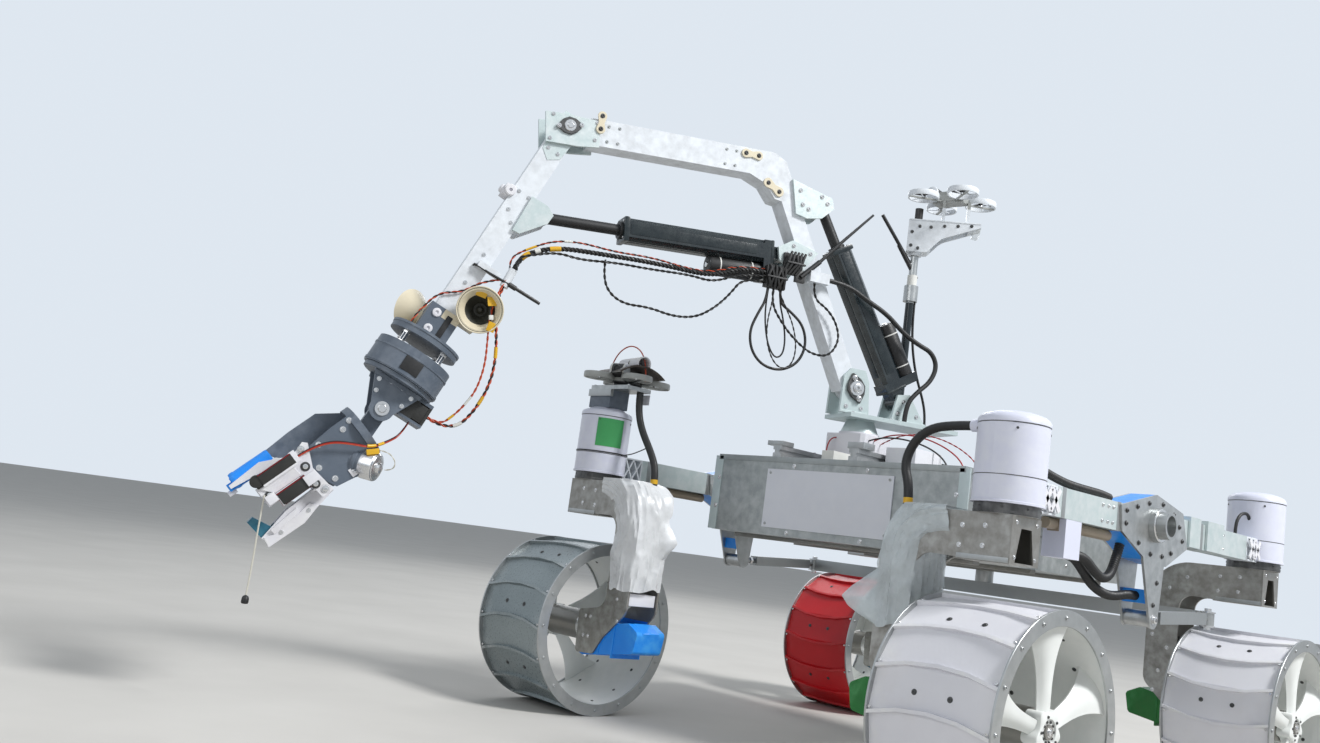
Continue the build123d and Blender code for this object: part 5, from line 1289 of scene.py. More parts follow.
def boom_details():
    """The plates and bolts on both cheeks, the antenna, and short wires lying on the clip block."""
    b = Build(ARM)
    splice(b, (597, 414), (597, 438), BOOM_CHEEK, "cream")
    splice(b, (262, 398), (238, 386), BOOM_SIDE, "cream", 9.5)
    splice(b, (288, 444), (314, 443), BOOM_SIDE, "cream")
    for n in (BOOM_CHEEK, -BOOM_CHEEK):
        b.use("dark_metal")
        face = n + 4.0 * sign(n)
        diamond = rhombus(16, 25, 12, 12)
        flange = [(ELBOW[0] + z * 0.97 + x * 0.24, ELBOW[1] + x * 0.97 - z * 0.24) for x, z in diamond]
        b.plate(flange, "y", *sorted((n, face)), 0.8)
        b.use("bright_metal")
        hub = ((0, 11), (1.5, 10), (1.5, 6), (3, 5), (3, 0))
        b.lathe((ELBOW[0], face, ELBOW[1]), (0, sign(n), 0), hub, 28)
        b.side_bolts(((672, 401), (632, 411)), face, 3.0, 2.4)
        for spots, r, height in CHEEK_BOLTS:
            b.side_bolts(spots, n, r, height)
    b.use("aluminium")
    for s, n in product((332, 352, 560, 580), (BOOM_SIDE, -BOOM_SIDE)):
        z = 431.5 - (s - 302) * 23 / 310 + 14
        b.side_bolts(((s, z), (s, z - 28)), n, 2.2, 1.4)
    b.use("black_print")
    b.sweep(WHIP, WHIP_R, 10)
    b.rod((179, 35, 232), WHIP[1], 4.6, 12)
    b.box(169, 189, 27, 35, 222, 244, 1.2)
    b.use("rubber")
    for k in range(6):
        s = 214 + k * 6.2
        lean = 3 * sin(k * 2.1)
        wire = ((s, 40.5, 241.6), (s + lean, 43.4, 235), (s - lean, 44.4, 220), (s + lean, 43.4, 205),
                (s, 40.5, 198.4))
        b.sweep(wire, 2.7, 8)
    for k in range(5):
        s = 180 + k * 7
        bow = s + 3 * cos(k * 1.7)
        wire = ((s - 4, 40.5, 274.6), (s, 43.0, 266), (bow, 44.2, 254), (s + 6, 43.0, 242),
                (s + 12, 41.0, 232))
        b.sweep(wire, 2.6, 8)
    b.use("black_print")
    b.box(209, 251, 41.0, 47.4, 217, 220.6, 1.0)
    b.box(176, 214, 41.0, 47.0, 251, 254.4, 1.0)
    b.piece("boom_bolts", "boom", slot="bare_metal")


boom_details()


# Forearm: pivot plate, screws and a small motor; on its end, the wrist's collars and the two horns

# (distance along the horn, radius)
HORN_OUTSIDE = ((3.0, 10.2), (10, 12.6), (20, 18.4), (30, 27.2), (37, 35.0), (40, 38.6), (41.2, 39.4),
                (41.9, 38.4), (41.0, 36.8))
HORN_INSIDE = ((41.0, 36.8), (35, 31.8), (26, 23.0), (18, 15.4), (13, 11.0), (12, 0))


TUBE_FACE = 20.0
PLATE_T = 0.9
# the first three hold the pivot plate
FOREARM_BOLTS = ((30, 0), (54, 10), (54, -10), (150, 10), (150, -10), (188, 8), (205, -8), (279, 0),
                 (337, 0))


def forearm_details():
    f = Build(FOREARM)
    f.use("pale_metal")
    outline = ((-22, -20), (8, -24), (60, -18), (74, 0), (60, 18), (8, 24), (-22, 20))
    f.plate(outline, "y", TUBE_FACE, TUBE_FACE + PLATE_T, 0.2)
    f.use("bright_metal")
    f.side_bolts(FOREARM_BOLTS[:3], TUBE_FACE + PLATE_T, 2.6, 1.6)
    f.side_bolts(FOREARM_BOLTS[3:], TUBE_FACE, 2.6, 1.6)
    f.side_bolts(FOREARM_BOLTS, -TUBE_FACE, 2.6, 1.6)
    f.use("white_print")
    f.lathe((158, TUBE_FACE, 23), (0, 1, 0), ((0, 10), (5, 10), (6, 8.6), (6, 3), (2, 3)), 24)
    f.box(148, 170, -8, 19, 20.5, 34, 2.0)
    f.lathe((159, 5, 34), (0, 0, 1), ((0, 8), (4, 7.4), (6, 5), (6.4, 0)), 24)
    f.piece("forearm_fittings", "forearm", slot="white_panel")


def wrist_details():
    w = Build(FOREARM)
    w.use("white_print")
    knob = ((0, 7.5), (2.4, 7.2), (2.8, 6.0), (2.8, 3.0), (1.0, 3.0), (0.6, 0))
    for x, z in ((408, 12), (438, 10)):
        w.lathe((x, 28, z), (0, 1, 0), knob, 24)
    w.use("black_print")
    w.box(402, 444, 27.6, 28.4, -16, -6, 1.0)
    w.use("bright_metal")
    for c, s in circle(4, 0.5):
        y, z = 49 * c, 49 * s
        w.lathe((462, y, z), (1, 0, 0), ((0, 6.6), (4, 6.6), (4, 5.3), (18, 5.3), (18, 6.6), (22, 6.6)), 6)
        w.bolt((450, y, z), (-1, 0, 0), 3.4, 2.4)
    for c, s in circle(8, 0.5):
        w.bolt((484, 58 * c, 58 * s), (-1, 0, 0), 2.4, 1.6, False)
    w.use("slate_print")
    for x, r, inner, wide in ((496, 67.0, 65.5, 3.0), (526, 67.2, 65.5, 4.0), (448.5, 62.2, 60.5, 4.0)):
        w.ring((x, 0, 0), (1, 0, 0), r, inner, wide, 64)
    w.use("black_print")
    w.box(500, 524, 60.5, 66.6, -16, 16, 1.2)
    w.piece("wrist_fittings", "forearm", slot="slate_print")


def horn(where):
    """A horn's rolled lip and its dark inside."""
    h = Build(where)
    for finish, profile in (("cream", HORN_OUTSIDE), ("olive", HORN_INSIDE)):
        h.use(finish)
        h.lathe((0, 0, 0), (0, 0, 1), profile, 48, caps=False)
    return h


def horn_details():
    near = horn(NEAR_HORN)
    near.lathe((0, 0, 12), (0, 0, 1), ((-1, 7), (6, 6), (9, 3), (9.4, 0)), 24, caps=False)
    near.use("dark_metal")
    near.lathe((0, 0, 0), (0, 0, 1), ((-8.2, 8.0), (-8.0, 11.0), (0.5, 11.4), (2.0, 9.8)), 32)
    near.use("tape_yellow")
    near.box(18, 34, 4, 22, 33.5, 34.3, 0.2, (8, -14, 10))
    near.piece("near_horn", "forearm", slot="white_print")
    horn(FAR_HORN).piece("far_horn", "forearm", slot="white_print")


forearm_details()
wrist_details()
horn_details()


# Wrist yoke and hand: servo, screws, motor end cap, gripper servos, jaw plates and the blue cylinder

YOKE_FACE = 35.0
PALM_FACE = 36.0
GRIP_FACE = 46.0
MOTOR_AXIS = Vector((-0.5, 0.5, -0.707)).normalized()
MOTOR_FROM = Vector((52, -2, 1))
MOTOR_FLANGE = ((0, 22.6), (36, 22.6), (37, 24), (42, 24), (43, 22.6))
MOTOR_CAP = ((0, 22.3), (2, 23.2), (22, 23.0), (25, 20.5), (26, 14), (26, 9), (31, 8), (32, 4), (32, 0))
WRIST_KNOB = ((-4, 13), (0, 15), (2, 15), (2.6, 11), (3.2, 11), (3.2, 15), (5, 15), (5, 4), (3, 4), (3, 0))
WASHER = ((0, 7.4), (0.7, 7.4), (0.9, 7.0), (0.9, 5.0))
BEARING = ((0, 5.6), (0.8, 5.6), (0.8, 4.4), (2.8, 4.0), (3.2, 2.2), (1.4, 2.0), (1.4, 0))
GRIP_PIVOTS = ((100, 12), (167, 7), (103, -19), (96, -34), (90, 38))
GRIPPER_BOXES = (
    # finish, x0, x1, y0, y1, z0, z1, bevel of the servos' cases, flanges and lids, and of the end blocks
    ("servo_black", 108, 165, 50, 57.2, 25.6, 41.2, 1.6),
    ("servo_black", 110, 159, 50, 57.2, -17.2, 1.2, 1.6),
    ("servo_red", 108, 166.6, 47.0, 50.2, 25.0, 42.8, 0.8),
    ("servo_red", 109, 160.6, 47.0, 50.2, -18.8, 2.6, 0.8),
    ("servo_red", 108.5, 165.5, 50.0, 57.8, 41.0, 43.0, 0.6),
    ("servo_red", 109.5, 159.5, 50.0, 57.8, 1.0, 3.2, 0.6),
    ("white_print", 92, 114, 46, 60, -16, 1, 1.0),
    ("white_print", 160, 176, 46, 60, -6, 9, 1.0),
    ("white_print", 100, 110, 46, 54, 24, 44, 0.8),
    ("servo_black", 164, 176, 40, 52, 24, 42, 1.5),
)
JAW_PLATE = ((118, -50), (126, -38), (150, -42), (200, -45), (211, -41), (214, -58), (150, -59.5))
CYLINDER = ((0, 6), (1, 12.4), (4, 13), (60, 13), (62, 13.8), (66, 13.8), (69.6, 12.6), (69.6, 5))


def yoke_details():
    y = Build(FOREARM)
    y.use("servo_black")
    y.box(548, 576, -17, 20, -66, -28, 1.0)
    y.use("bright_metal")
    hub = ((0, 12), (2.4, 11.6), (2.4, 7), (4, 6), (4, 0))
    spots = ((552, 30), (552, -30), (570, 24), (570, -24), (545, 10), (545, -10))
    for side in (1, -1):
        y.lathe((590, side * YOKE_FACE, 0), (0, side, 0), hub, 28)
        y.side_bolts(spots, side * YOKE_FACE, 2.6, 1.8)
    y.use("slate_print")
    edge = ((541, -44), (541, 44), (548, 42), (548, -42))
    for side in (1, -1):
        y.plate(edge, "y", *sorted((side * YOKE_FACE, side * (YOKE_FACE + 2.4))), 0.4)
    y.ring((532.5, 0, 0), (1, 0, 0), 62.4, 60.5, 7.0, 64)
    y.piece("yoke_fittings", "wrist", slot="slate_print")


def hand_details():
    h = Build(HAND)
    h.use("slate_print")
    h.lathe(MOTOR_FROM + MOTOR_AXIS * 6, MOTOR_AXIS, MOTOR_FLANGE, 40)
    h.use("bright_metal")
    h.lathe(MOTOR_FROM + MOTOR_AXIS * 54, MOTOR_AXIS, MOTOR_CAP, 40)
    palm = ((20, 26), (64, 28), (74, -30), (44, -38), (10, -26), (4, 32), (84, -2))
    h.side_bolts(palm, PALM_FACE, 3.4, 2.0)
    h.side_bolts(((60, 62), (112, 60), (20, 50), (44, -38)), -PALM_FACE)
    h.use("white_print")
    h.box(37, 51, 35.4, 37.6, -45, -31, 0.6)
    h.use("tape_yellow")
    h.box(-6, 14, 40, 49, -34, -25, 1.2, (0, -30, 0))
    h.use("slate_print")
    h.lathe((93, -44.5, 53), (0, -1, 0), WRIST_KNOB, 36)
    h.ring((-9.4, 0, 6), (1, 0, 0), 45.2, 43.6, 12.6, 64)
    h.box(-5, 3, -30, 36.6, -40, -36, 0.8)
    h.use("black_print")
    h.lathe((-9.2, 20, 26), (-1, 0, 0), ((0, 9), (0.8, 8.6), (0.8, 0)), 24)
    h.piece("hand_fittings", "hand", slot="slate_print")


def gripper_details():
    g = Build(HAND)
    g.use("dark_metal")
    for x, z in GRIP_PIVOTS[:3]:
        g.lathe((x, GRIP_FACE, z), (0, 1, 0), WASHER, 24)
    g.use("bright_metal")
    for (x, z), side in product(GRIP_PIVOTS, (1, -1)):
        g.lathe((x, side * GRIP_FACE, z), (0, side, 0), BEARING, 20)
    for finish, *box in GRIPPER_BOXES:
        g.use(finish)
        g.box(*box)
    g.use("white_print")
    cover = ((112, 4.4), (158, 4.4), (176, 24), (150, 24.4), (114, 22))
    g.plate(cover, "y", GRIP_FACE, GRIP_FACE + 2.4, 0.6)
    g.use("servo_black")
    g.lathe((171, 50, 36), (0, 1, 0), ((-8, 9), (-7, 10), (4, 10), (5, 9), (5, 0)), 24)
    g.piece("gripper_fittings", "hand", slot="white_print")


def jaw_details():
    low = Build(HAND)
    low.use("white_print")
    low.plate(JAW_PLATE, "y", 28, 31, 0.6)
    low.box(146, 196, 20, 33, -44, -35, 1.2, (0, 6, 0))
    low.box(150, 210, -20, 20, -57.6, -55.8, 0.6)
    low.use("bright_metal")
    low.side_bolts(((134, -47), (186, -50)), 31, 2.4, 1.4)
    low.piece("lower_jaw_fittings", "jaw_lower", slot="white_print")
    up = Build(HAND)
    up.use("blue_print")
    up.lathe((129, -6, 55.5), (1, 0, 0), CYLINDER, 36)
    up.box(196, 209, -16, 0, 44, 57, 1.6)
    up.use("white_print")
    up.box(200, 214, -30, -10, 38, 47, 1.4)
    up.piece("upper_jaw_fittings", "jaw_upper", slot="blue_print")


yoke_details()
hand_details()
gripper_details()
jaw_details()


# Actuators: end caps, clamp collars, the motors' bands and screws

TUBE_HALF = 21.0
MOTOR_OFFSET = 38.0
MOTOR_TUBE = ((0, 17.6), (3, 18.2), (100, 18.2), (104, 16.8), (105, 12), (105, 6), (103, 5.6), (103, 0))


def actuator_details(where, name, body_name, motor_side):
    a = Build(where)
    offset = motor_side * MOTOR_OFFSET
    a.use("green_black")
    for x0, x1, half, bevel in ((308, 318, 22.4, 3.0), (24, 30, 22.2, 3.0)):
        a.box(x0, x1, -half, half, -half, half, bevel)
    for face in (-TUBE_HALF, TUBE_HALF):
        a.box(60, 306, -9, 9, face - 0.7, face + 0.7, 0.3)
        a.box(60, 306, face - 0.7, face + 0.7, -9, 9, 0.3)
    a.use("black_print")
    a.ring((314, 0, 0), (1, 0, 0), 16.0, 10.6, 9.0, 36)
    a.lathe((44, 0, offset), (1, 0, 0), MOTOR_TUBE, 40)
    a.use("tape_white")
    for x in (62, 126):
        a.ring((x, 0, offset), (1, 0, 0), 18.6, 17.8, 2.2, 40)
    a.use("bright_metal")
    a.lathe((148.6, 0, offset), (1, 0, 0), ((0, 5), (2, 4.6), (2.4, 0)), 20)
    for n, z in product((-15, 15), (-15, 15)):
        a.bolt((318, n, z), (1, 0, 0), 2.2, 1.4, False)
    a.piece(name, body_name, slot="dark_metal")


actuator_details(LIFT, "lift_caps", "lift_cylinder", 1)
actuator_details(CURL, "curl_caps", "curl_cylinder", -1)


# Cords

def spline_points(route, steps=7):
    """Points along the smooth NURBS line through a route's control points."""
    curve = bpy.data.curves.new("route", "CURVE")
    curve.dimensions = "3D"
    curve.resolution_u = steps
    spline = curve.splines.new("NURBS")
    spline.points.add(len(route) - 1)
    for point, place in zip(spline.points, route):
        point.co = (*place, 1.0)
    spline.order_u = 3
    spline.use_endpoint_u = True
    holder = add_object("route", curve)
    bpy.context.view_layer.update()
    mesh = bpy.data.meshes.new_from_object(holder)
    points = [v.co.copy() for v in mesh.vertices]
    bpy.data.objects.remove(holder)
    bpy.data.curves.remove(curve)
    bpy.data.meshes.remove(mesh)
    return points


def line_length(points):
    return sum((b - a).length for a, b in zip(points, points[1:]))


def strands(points, r, count, turns_per_metre):
    """Paths of count strands wound round a line."""
    paths = [[] for _ in range(count)]
    travelled = 0.0
    last = points[0]
    for point, side, up in carried_axes(points):
        travelled += (point - last).length
        last = point
        for k, path in enumerate(paths):
            a = 2 * pi * (travelled * turns_per_metre + k / count)
            path.append(point + (side * cos(a) + up * sin(a)) * r)
    return paths


# node is what the cord replaces; other is the body at its far end; it blends from start to end
CORD_FIELDS = "name node where diameter style finish body route other start end stiffness lay far"
Cord = namedtuple("Cord", CORD_FIELDS, defaults=(None, None, None, "limp", "hanging", "object"))
# a lead that is only in this file
Wire = namedtuple("Wire", "name body where diameter style finish route far", defaults=("object",))
WRAPS = {
    # cord: bands of tape and tags, by share of its length
    "boom_cable_bundle": ((0.05, 0.085, "tape_yellow"), (0.105, 0.125, "tape_white"),
                          (0.16, 0.2, "tape_yellow")),
    "forearm_leads": ((0.16, 0.2, "tape_white"), (0.34, 0.4, "tape_yellow"), (0.62, 0.67, "tape_yellow"),
                      (0.8, 0.85, "tape_white")),
    "forearm_leads_second": ((0.12, 0.16, "tape_yellow"), (0.7, 0.76, "tape_white"),
                             (0.84, 0.88, "tape_yellow")),
    "boom_cable_third": ((0.1, 0.14, "tape_yellow"), (0.24, 0.27, "tape_white")),
    "hand_leads": ((0.3, 0.36, "tape_yellow"), (0.38, 0.45, "tape_yellow")),
    "can_conduit_fl": ((0.93, 0.97, "tape_yellow"),),
    "can_conduit_fr": ((0.93, 0.97, "tape_yellow"),),
}


def on_forearm(x, n, z):
    """A point of the forearm's own frame, in the arm's, in millimetres."""
    lean = radians(FOREARM_LEAN)
    return (ELBOW[0] + sin(lean) * x + cos(lean) * z, n, ELBOW[1] - cos(lean) * x + sin(lean) * z)


def in_hand(x, n, z):
    """A point of the hand's own frame, in the arm's, in millimetres."""
    tilt = radians(HAND_TILT)
    s = HAND_ORIGIN[0] + cos(tilt) * x + sin(tilt) * z
    return (s, n, HAND_ORIGIN[1] - sin(tilt) * x + cos(tilt) * z)


TIE_FROM = (712.0, 33.0, 132.0)
TIE_TO = (724.0, 33.0, 100.0)
TIE_DIR = (0.35112, -0.93633)
BAND_S = 141.03
SERVO_LOW = 582.3
HANGER_REAR = 272.0
HANGER_Z = 400.2
WEB_Y = 302.5
SOCKET_TOP = 435.5

CORDS = (
    Cord("boom_cable_bundle", "boom_cable", ARM, 9.0, "bundle", "rubber", "forearm", (
        TIE_FROM, (712 - 24 * TIE_DIR[0], 33, 132 - 24 * TIE_DIR[1]), (684, 33, 170), (640, 33, 187),
        (566, 34, 192), (455, 34, 198), (352, 34, 196), (296, 34, 226), (250, 34, 226)), "boom",
        (700, 33, 150), (470, 34, 197), stiffness="medium"),
    Cord("boom_cable_second", None, ARM, 5.0, "pair", "rubber", "forearm", (
        (708, 40, 131), (712, 41, 152), (688, 40, 162), (642, 39, 177), (600, 38, 173), (540, 40, 181),
        (470, 41, 183), (400, 40, 189), (352, 40, 185), (300, 40, 212), (250, 38, 218)), "boom",
        (700, 40, 150), (470, 40, 184)),
    Cord("boom_cable_third", None, ARM, 4.0, "orange_pair", "rubber", "forearm", (
        (716, 27, 131), (722, 26, 152), (690, 26, 176), (648, 27, 199), (600, 28, 206), (540, 27, 203),
        (470, 27, 208), (400, 27, 203), (352, 27, 206), (300, 27, 230), (250, 29, 233)), "boom",
        (706, 26, 160), (470, 27, 208)),
    Cord("boom_loop_wire", "boom_loop", ARM, 5.0, "pair", "rubber", "boom", (
        (555, 34, 184), (555, 34, 160), (544, 35, 130), (512, 36, 113), (465, 36, 117), (420, 35, 110),
        (376, 34, 116), (342, 35, 140), (316, 35, 170), (292, 34, 208), (250, 34, 208))),
    Cord("shoulder_wire_a", "shoulder_loop_a", ARM, 5.0, "plain", "rubber", "boom", (
        (243, 37, 200), (243, 37, 176), (258, 39, 146), (270, 40, 112), (262, 40, 77), (236, 39, 54),
        (198, 38, 51), (165, 38, 71), (152, 38, 107), (163, 38, 143), (192, 37, 164), (217, 37, 176),
        (217, 37, 200))),
    Cord("shoulder_wire_b", "shoulder_loop_b", ARM, 5.0, "pair", "rubber", "boom", (
        (229, 31, 200), (229, 31, 172), (205, 31, 142), (174, 32, 114), (138, 33, 94), (101, 33, 96),
        (83, 33, 128), (90, 32, 158), (112, 31, 184), (BAND_S + 5, 30, 200), (BAND_S + 5, 30, 228))),
    Cord("turret_lead", "turret_cable", ARM, 9.0, "plain", "rubber", "boom", (
        (BAND_S - 20, 34, 238), (BAND_S - 62, 34, 238), (32, 35, 216), (-11, 36, 199), (-49, 37, 170),
        (-86, 38, 153), (-116, 39, 144), (-130, 40, 118), (-118, 41, 86), (-92, 41, 62), (-70, 41, 34),
        (-70, 41, 0)), "turret", (90, 34, 238), (-80, 41, 50), stiffness="medium"),
    Cord("mast_lead", "mast_cable", ARM, 5.0, "plain", "rubber", "turret", (
        (-114, -38, 253), (-114, -38, 221), (-119, -38, 166), (-134, -38, 110), (-157, -38, 62),
        (-166, -38, 28), (-166, -38, 0)), stiffness="medium"),
    Cord("forearm_leads", "forearm_cable", ARM, 6.0, "orange_pair", "rubber", "forearm", (
        TIE_TO, (724 + 24 * TIE_DIR[0], 33, 100 + 24 * TIE_DIR[1]), (729, 33, 46), (721, 32, 8),
        (717, 30, -33), (722, 27, -74), (737, 22, -112), (758, 15, -142),
        on_forearm(SERVO_LOW - 22, 10, -95), on_forearm(SERVO_LOW - 22, 10, -70)), "wrist", (726, 33, 30),
        (785, 10, -145)),
    Cord("forearm_leads_second", None, ARM, 4.0, "pair", "wire_orange", "forearm", (
        (722, 38, 112), (733, 40, 90), (741, 40, 40), (737, 39, 0), (735, 37, -40), (742, 34, -80),
        (757, 29, -108), (772, 24, -128), on_forearm(SERVO_LOW - 22, 22, -93),
        on_forearm(SERVO_LOW - 22, 18, -70)), "wrist", (736, 40, 30), (775, 22, -130)),
    Cord("hand_leads", "hand_cable", ARM, 5.0, "orange_flat", "wire_orange", "wrist", (
        on_forearm(SERVO_LOW, 6, -50), on_forearm(SERVO_LOW + 24, 6, -50), (866, 24, -184), (893, 46, -199),
        (925, 49, -198), (958, 51, -200), in_hand(83, 51, 32), in_hand(107, 51, 32)), "hand",
        (848, 8, -168), (935, 50, -198), lay="loose"),
    Cord("can_conduit_fl", "conduit_fl", ROOT, 14.0, "plain", "rubber", "chassis", (
        (462, 395, 561), (462, 364, 561), (464, 326, 556), (467, 300, 535), (469, 288, 500),
        (470, WEB_Y, SOCKET_TOP + 30), (470, WEB_Y, SOCKET_TOP)), "steer_fl", (462, 380, 560),
        (470, WEB_Y, SOCKET_TOP), stiffness="stiff"),
    Cord("can_conduit_fr", "conduit_fr", ROOT, 14.0, "plain", "rubber", "chassis", (
        (430, -378, 618), (430, -378, 590), (430, -362, 548), (430, -322, 500),
        (430, -WEB_Y, SOCKET_TOP + 32), (430, -WEB_Y, SOCKET_TOP)), "steer_fr", (430, -378, 600),
        (430, -WEB_Y, SOCKET_TOP), stiffness="stiff"),
    Cord("drive_hose_upper", "drive_hose_a", ROOT, 15.0, "corrugated", "rubber", "chassis", (
        (HANGER_REAR, 464, HANGER_Z), (HANGER_REAR - 32, 464, HANGER_Z), (208.7, 464, 383.5),
        (176.6, 462, 372.2), (145, 458, 377.5), (119.9, 453, 397.4), (106, 453, 430.6)),
        stiffness="medium"),
    Cord("drive_hose_lower", "drive_hose_b", ROOT, 15.0, "corrugated", "rubber", "chassis", (
        (HANGER_REAR, 446, HANGER_Z), (HANGER_REAR - 32, 446, HANGER_Z), (209, 446, 383), (177, 446, 362),
        (139, 448, 350), (104, 450, 349), (72, 453, 355), (41, 453, 355)), stiffness="medium"),
)
STRAND_TURNS = 45.0
STRING_FROM = in_hand(173, 48.6, 12)
STRING_DROP = 152.0
WIRES = (
    Wire("shoulder_wire_c", "boom", ARM, 3.2, "plain", "rubber", (
        (238, 29, 200), (239, 28, 175), (236, 26.2, 140), (226, 26.2, 100), (208, 26.2, 74),
        (192, 26.2, 82), (190, 26.2, 112), (200, 27, 150), (212, 29, 178), (214, 29, 200))),
    Wire("shoulder_wire_d", "boom", ARM, 3.2, "pair", "rubber", (
        (231, 39, 200), (233, 43, 172), (240, 46.5, 140), (238, 47, 100), (222, 47, 66), (200, 47, 52),
        (180, 47, 66), (176, 47, 100), (188, 46, 140), (208, 43, 172), (223, 39, 200))),
    Wire("forearm_wire", "forearm", ARM, 4.4, "orange_pair", "rubber", (
        (729, 33, 112), (745, 31, 107), (766, 27, 98), (783, 25.5, 84), (802, 25, 76), (820, 25, 72),
        (836, 25, 60), (848, 26, 42), on_forearm(428, 27, 38), on_forearm(449.6, 27, 38))),
    Wire("motor_wire", "hand", HAND, 2.4, "pair", "wire_white", (
        (6, 45, -64), (-3, 54, -71), (-13, 60, -64), (-15, 58, -50), (-10, 52, -39), (-4, 46, -32))),
    Wire("deck_wire_a", "chassis", ROOT, 2.6, "plain", "wire_red", (
        (170, 0, 574), (170, 22, 584), (160, 60, 590), (146, 100, 585), (134, 140, 568), (128, 168, 545),
        (128, 176, DECK_TOP + 0.3))),
    Wire("deck_wire_b", "chassis", ROOT, 2.6, "pair", "wire_red", (
        (150, 0, 570), (150, 22, 582), (142, 60, 594), (124, 104, 592), (108, 148, 574), (100, 182, 546),
        (99, 190, DECK_TOP + 0.3))),
    Wire("deck_wire_c", "chassis", ROOT, 3.0, "plain", "rubber", (
        (186, 0, 572), (186, 20, 578), (180, 56, 580), (170, 96, 574), (160, 130, 560), (154, 152, 540),
        (153, 158, DECK_TOP + 0.3))),
    Wire("housing_wire", "chassis", ROOT, 2.4, "plain", "wire_red", (
        (205.3, -62, 574), (216, -64, 572), (222, -68, 556), (219, -70, 538), (214, -70, DECK_TOP + 0.3))),
    Wire("beam_hose", "chassis", ROOT, 13.0, "corrugated", "rubber", (
        (396, 453, 516), (366, 453, 514), (330, 453, 508), (290, 453, 503.5), (250, 454, 502),
        (212, 454, 502), (178, 453, 502), (152, 453, 499.5))),
    Wire("rear_can_lead", "chassis", ROOT, 6.0, "plain", "rubber", (
        (-345, 453, 493.2), (-345, 453, 514), (-356, 455, 532), (-374, 458, 538), (-392, 458, 534),
        (-399, 456, 527))),
    Wire("can_tie_line", "chassis", ROOT, 2.2, "plain", "rubber", (
        (437, -400.6, 492), (436, -382, 493), (433, -358, 500), (431, -334, 510))),
    Wire("cover_band", "chassis", ROOT, 2.6, "plain", "wire_orange", (
        (428, -370, 640), (427, -376, 690), (425, -432, 722), (423, -488, 690), (422, -494, 640))),
    Wire("horn_wire", "forearm", ARM, 2.4, "plain", "rubber", (
        (742, 49.6, 66), (744, 47.5, 54), (740, 48, 42), (738, 50, 28))),
    Wire("gripper_string", "hand", ARM, 2.6, "plain", "wire_white", (
        STRING_FROM, (STRING_FROM[0] + 0.6, STRING_FROM[1] + 0.6, STRING_FROM[2] - STRING_DROP * 0.3),
        (STRING_FROM[0] - 0.8, STRING_FROM[1] + 0.4, STRING_FROM[2] - STRING_DROP * 0.7),
        (STRING_FROM[0], STRING_FROM[1], STRING_FROM[2] - STRING_DROP)), "fitting"),
)


def make_cord(c):
    b, points = cord_shape(c)
    made = b.piece(c.name, None if c.other else c.body, angle=50.0, slot="black_rubber")
    if c.other:
        start, end = [c.where @ (Vector(p) * MM) for p in (c.start, c.end)]
        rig.blend(made, c.body, c.other, start, end)
    if c.node:
        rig.replaces(made, c.node)
    length = round(line_length(points), 3)
    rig.cord(made, exit=points[0], length=length, diameter=c.diameter * MM, far_end=c.far,
            stiffness=c.stiffness, lay=c.lay, path=points)
    print("cord", c.name, length)


def make_wire(c):
    b, points = cord_shape(c)
    made = b.piece(c.name, c.body, angle=50.0, slot="black_rubber")
    ends = []
    if c.far == "fitting":
        end = points[-1] / MM
        w = Build()
        w.use("black_print")
        drop = ((0, 1.2), (2, 4.2), (5, 5.4), (11, 5.6), (13, 4.6), (13.6, 0))
        w.lathe(end + Vector((0, 0, 1)), (0, 0, -1), drop, 20)
        ends = [w.piece("string_weight", c.body, slot="black_print")]
    length = round(line_length(points), 3)
    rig.cord(made, exit=points[0], length=length, diameter=c.diameter * MM, far_end=c.far,
            stiffness="limp", lay="hanging", path=points, with_pieces=ends)
    print("wire", c.name, length)


STRAND_COUNTS = {"bundle": 3, "pair": 2, "orange_pair": 2}
FINE_STEPS = 16
PLAIN_STEPS = 8
GROOVE_STEP = 1.1
STRAND_STEP = 2.0
WRAP_STEPS = 200


def cord_shape(c):
    """The cord's mesh and the points that it follows."""
    route = [c.where @ (Vector(p) * MM) for p in c.route]
    fine_line = c.style == "corrugated" or c.style in STRAND_COUNTS
    points = spline_points(route, FINE_STEPS if fine_line else PLAIN_STEPS)
    mm_points = [p / MM for p in points]
    length = line_length(mm_points)
    b = Build()
    r = c.diameter / 2
    b.use(c.finish)
    if c.style == "plain":
        b.sweep(mm_points, r, 12)
    elif c.style == "corrugated":
        smooth = resample(mm_points, max(2, round(length / GROOVE_STEP)))
        b.sweep(smooth, [r if i % 4 in (0, 1) else r * 0.84 for i in range(len(smooth))], 16)
    elif c.style == "orange_flat":
        up = Vector((0, 0, 1))
        for k, finish in ((-1, "wire_orange"), (0, "wire_red"), (1, "rubber")):
            b.use(finish)
            b.sweep([p + up * k * r * 0.62 for p in mm_points], r * 0.36, 8)
    else:
        count = STRAND_COUNTS[c.style]
        even = [p * MM for p in resample(mm_points, max(2, round(length / STRAND_STEP)))]
        strand_r = r * (0.46 if count == 3 else 0.5)
        for k, path in enumerate(strands(even, (r - strand_r) * MM, count, STRAND_TURNS)):
            b.use("wire_orange" if c.style == "orange_pair" and k == 0 else c.finish)
            b.sweep([p / MM for p in path], strand_r, 7)
    line = resample(mm_points, WRAP_STEPS)
    for low, high, finish in WRAPS.get(c.name, ()):
        b.use(finish)
        b.sweep(line[round(low * WRAP_STEPS):round(high * WRAP_STEPS) + 1], r * 1.03, 12)
    return b, points


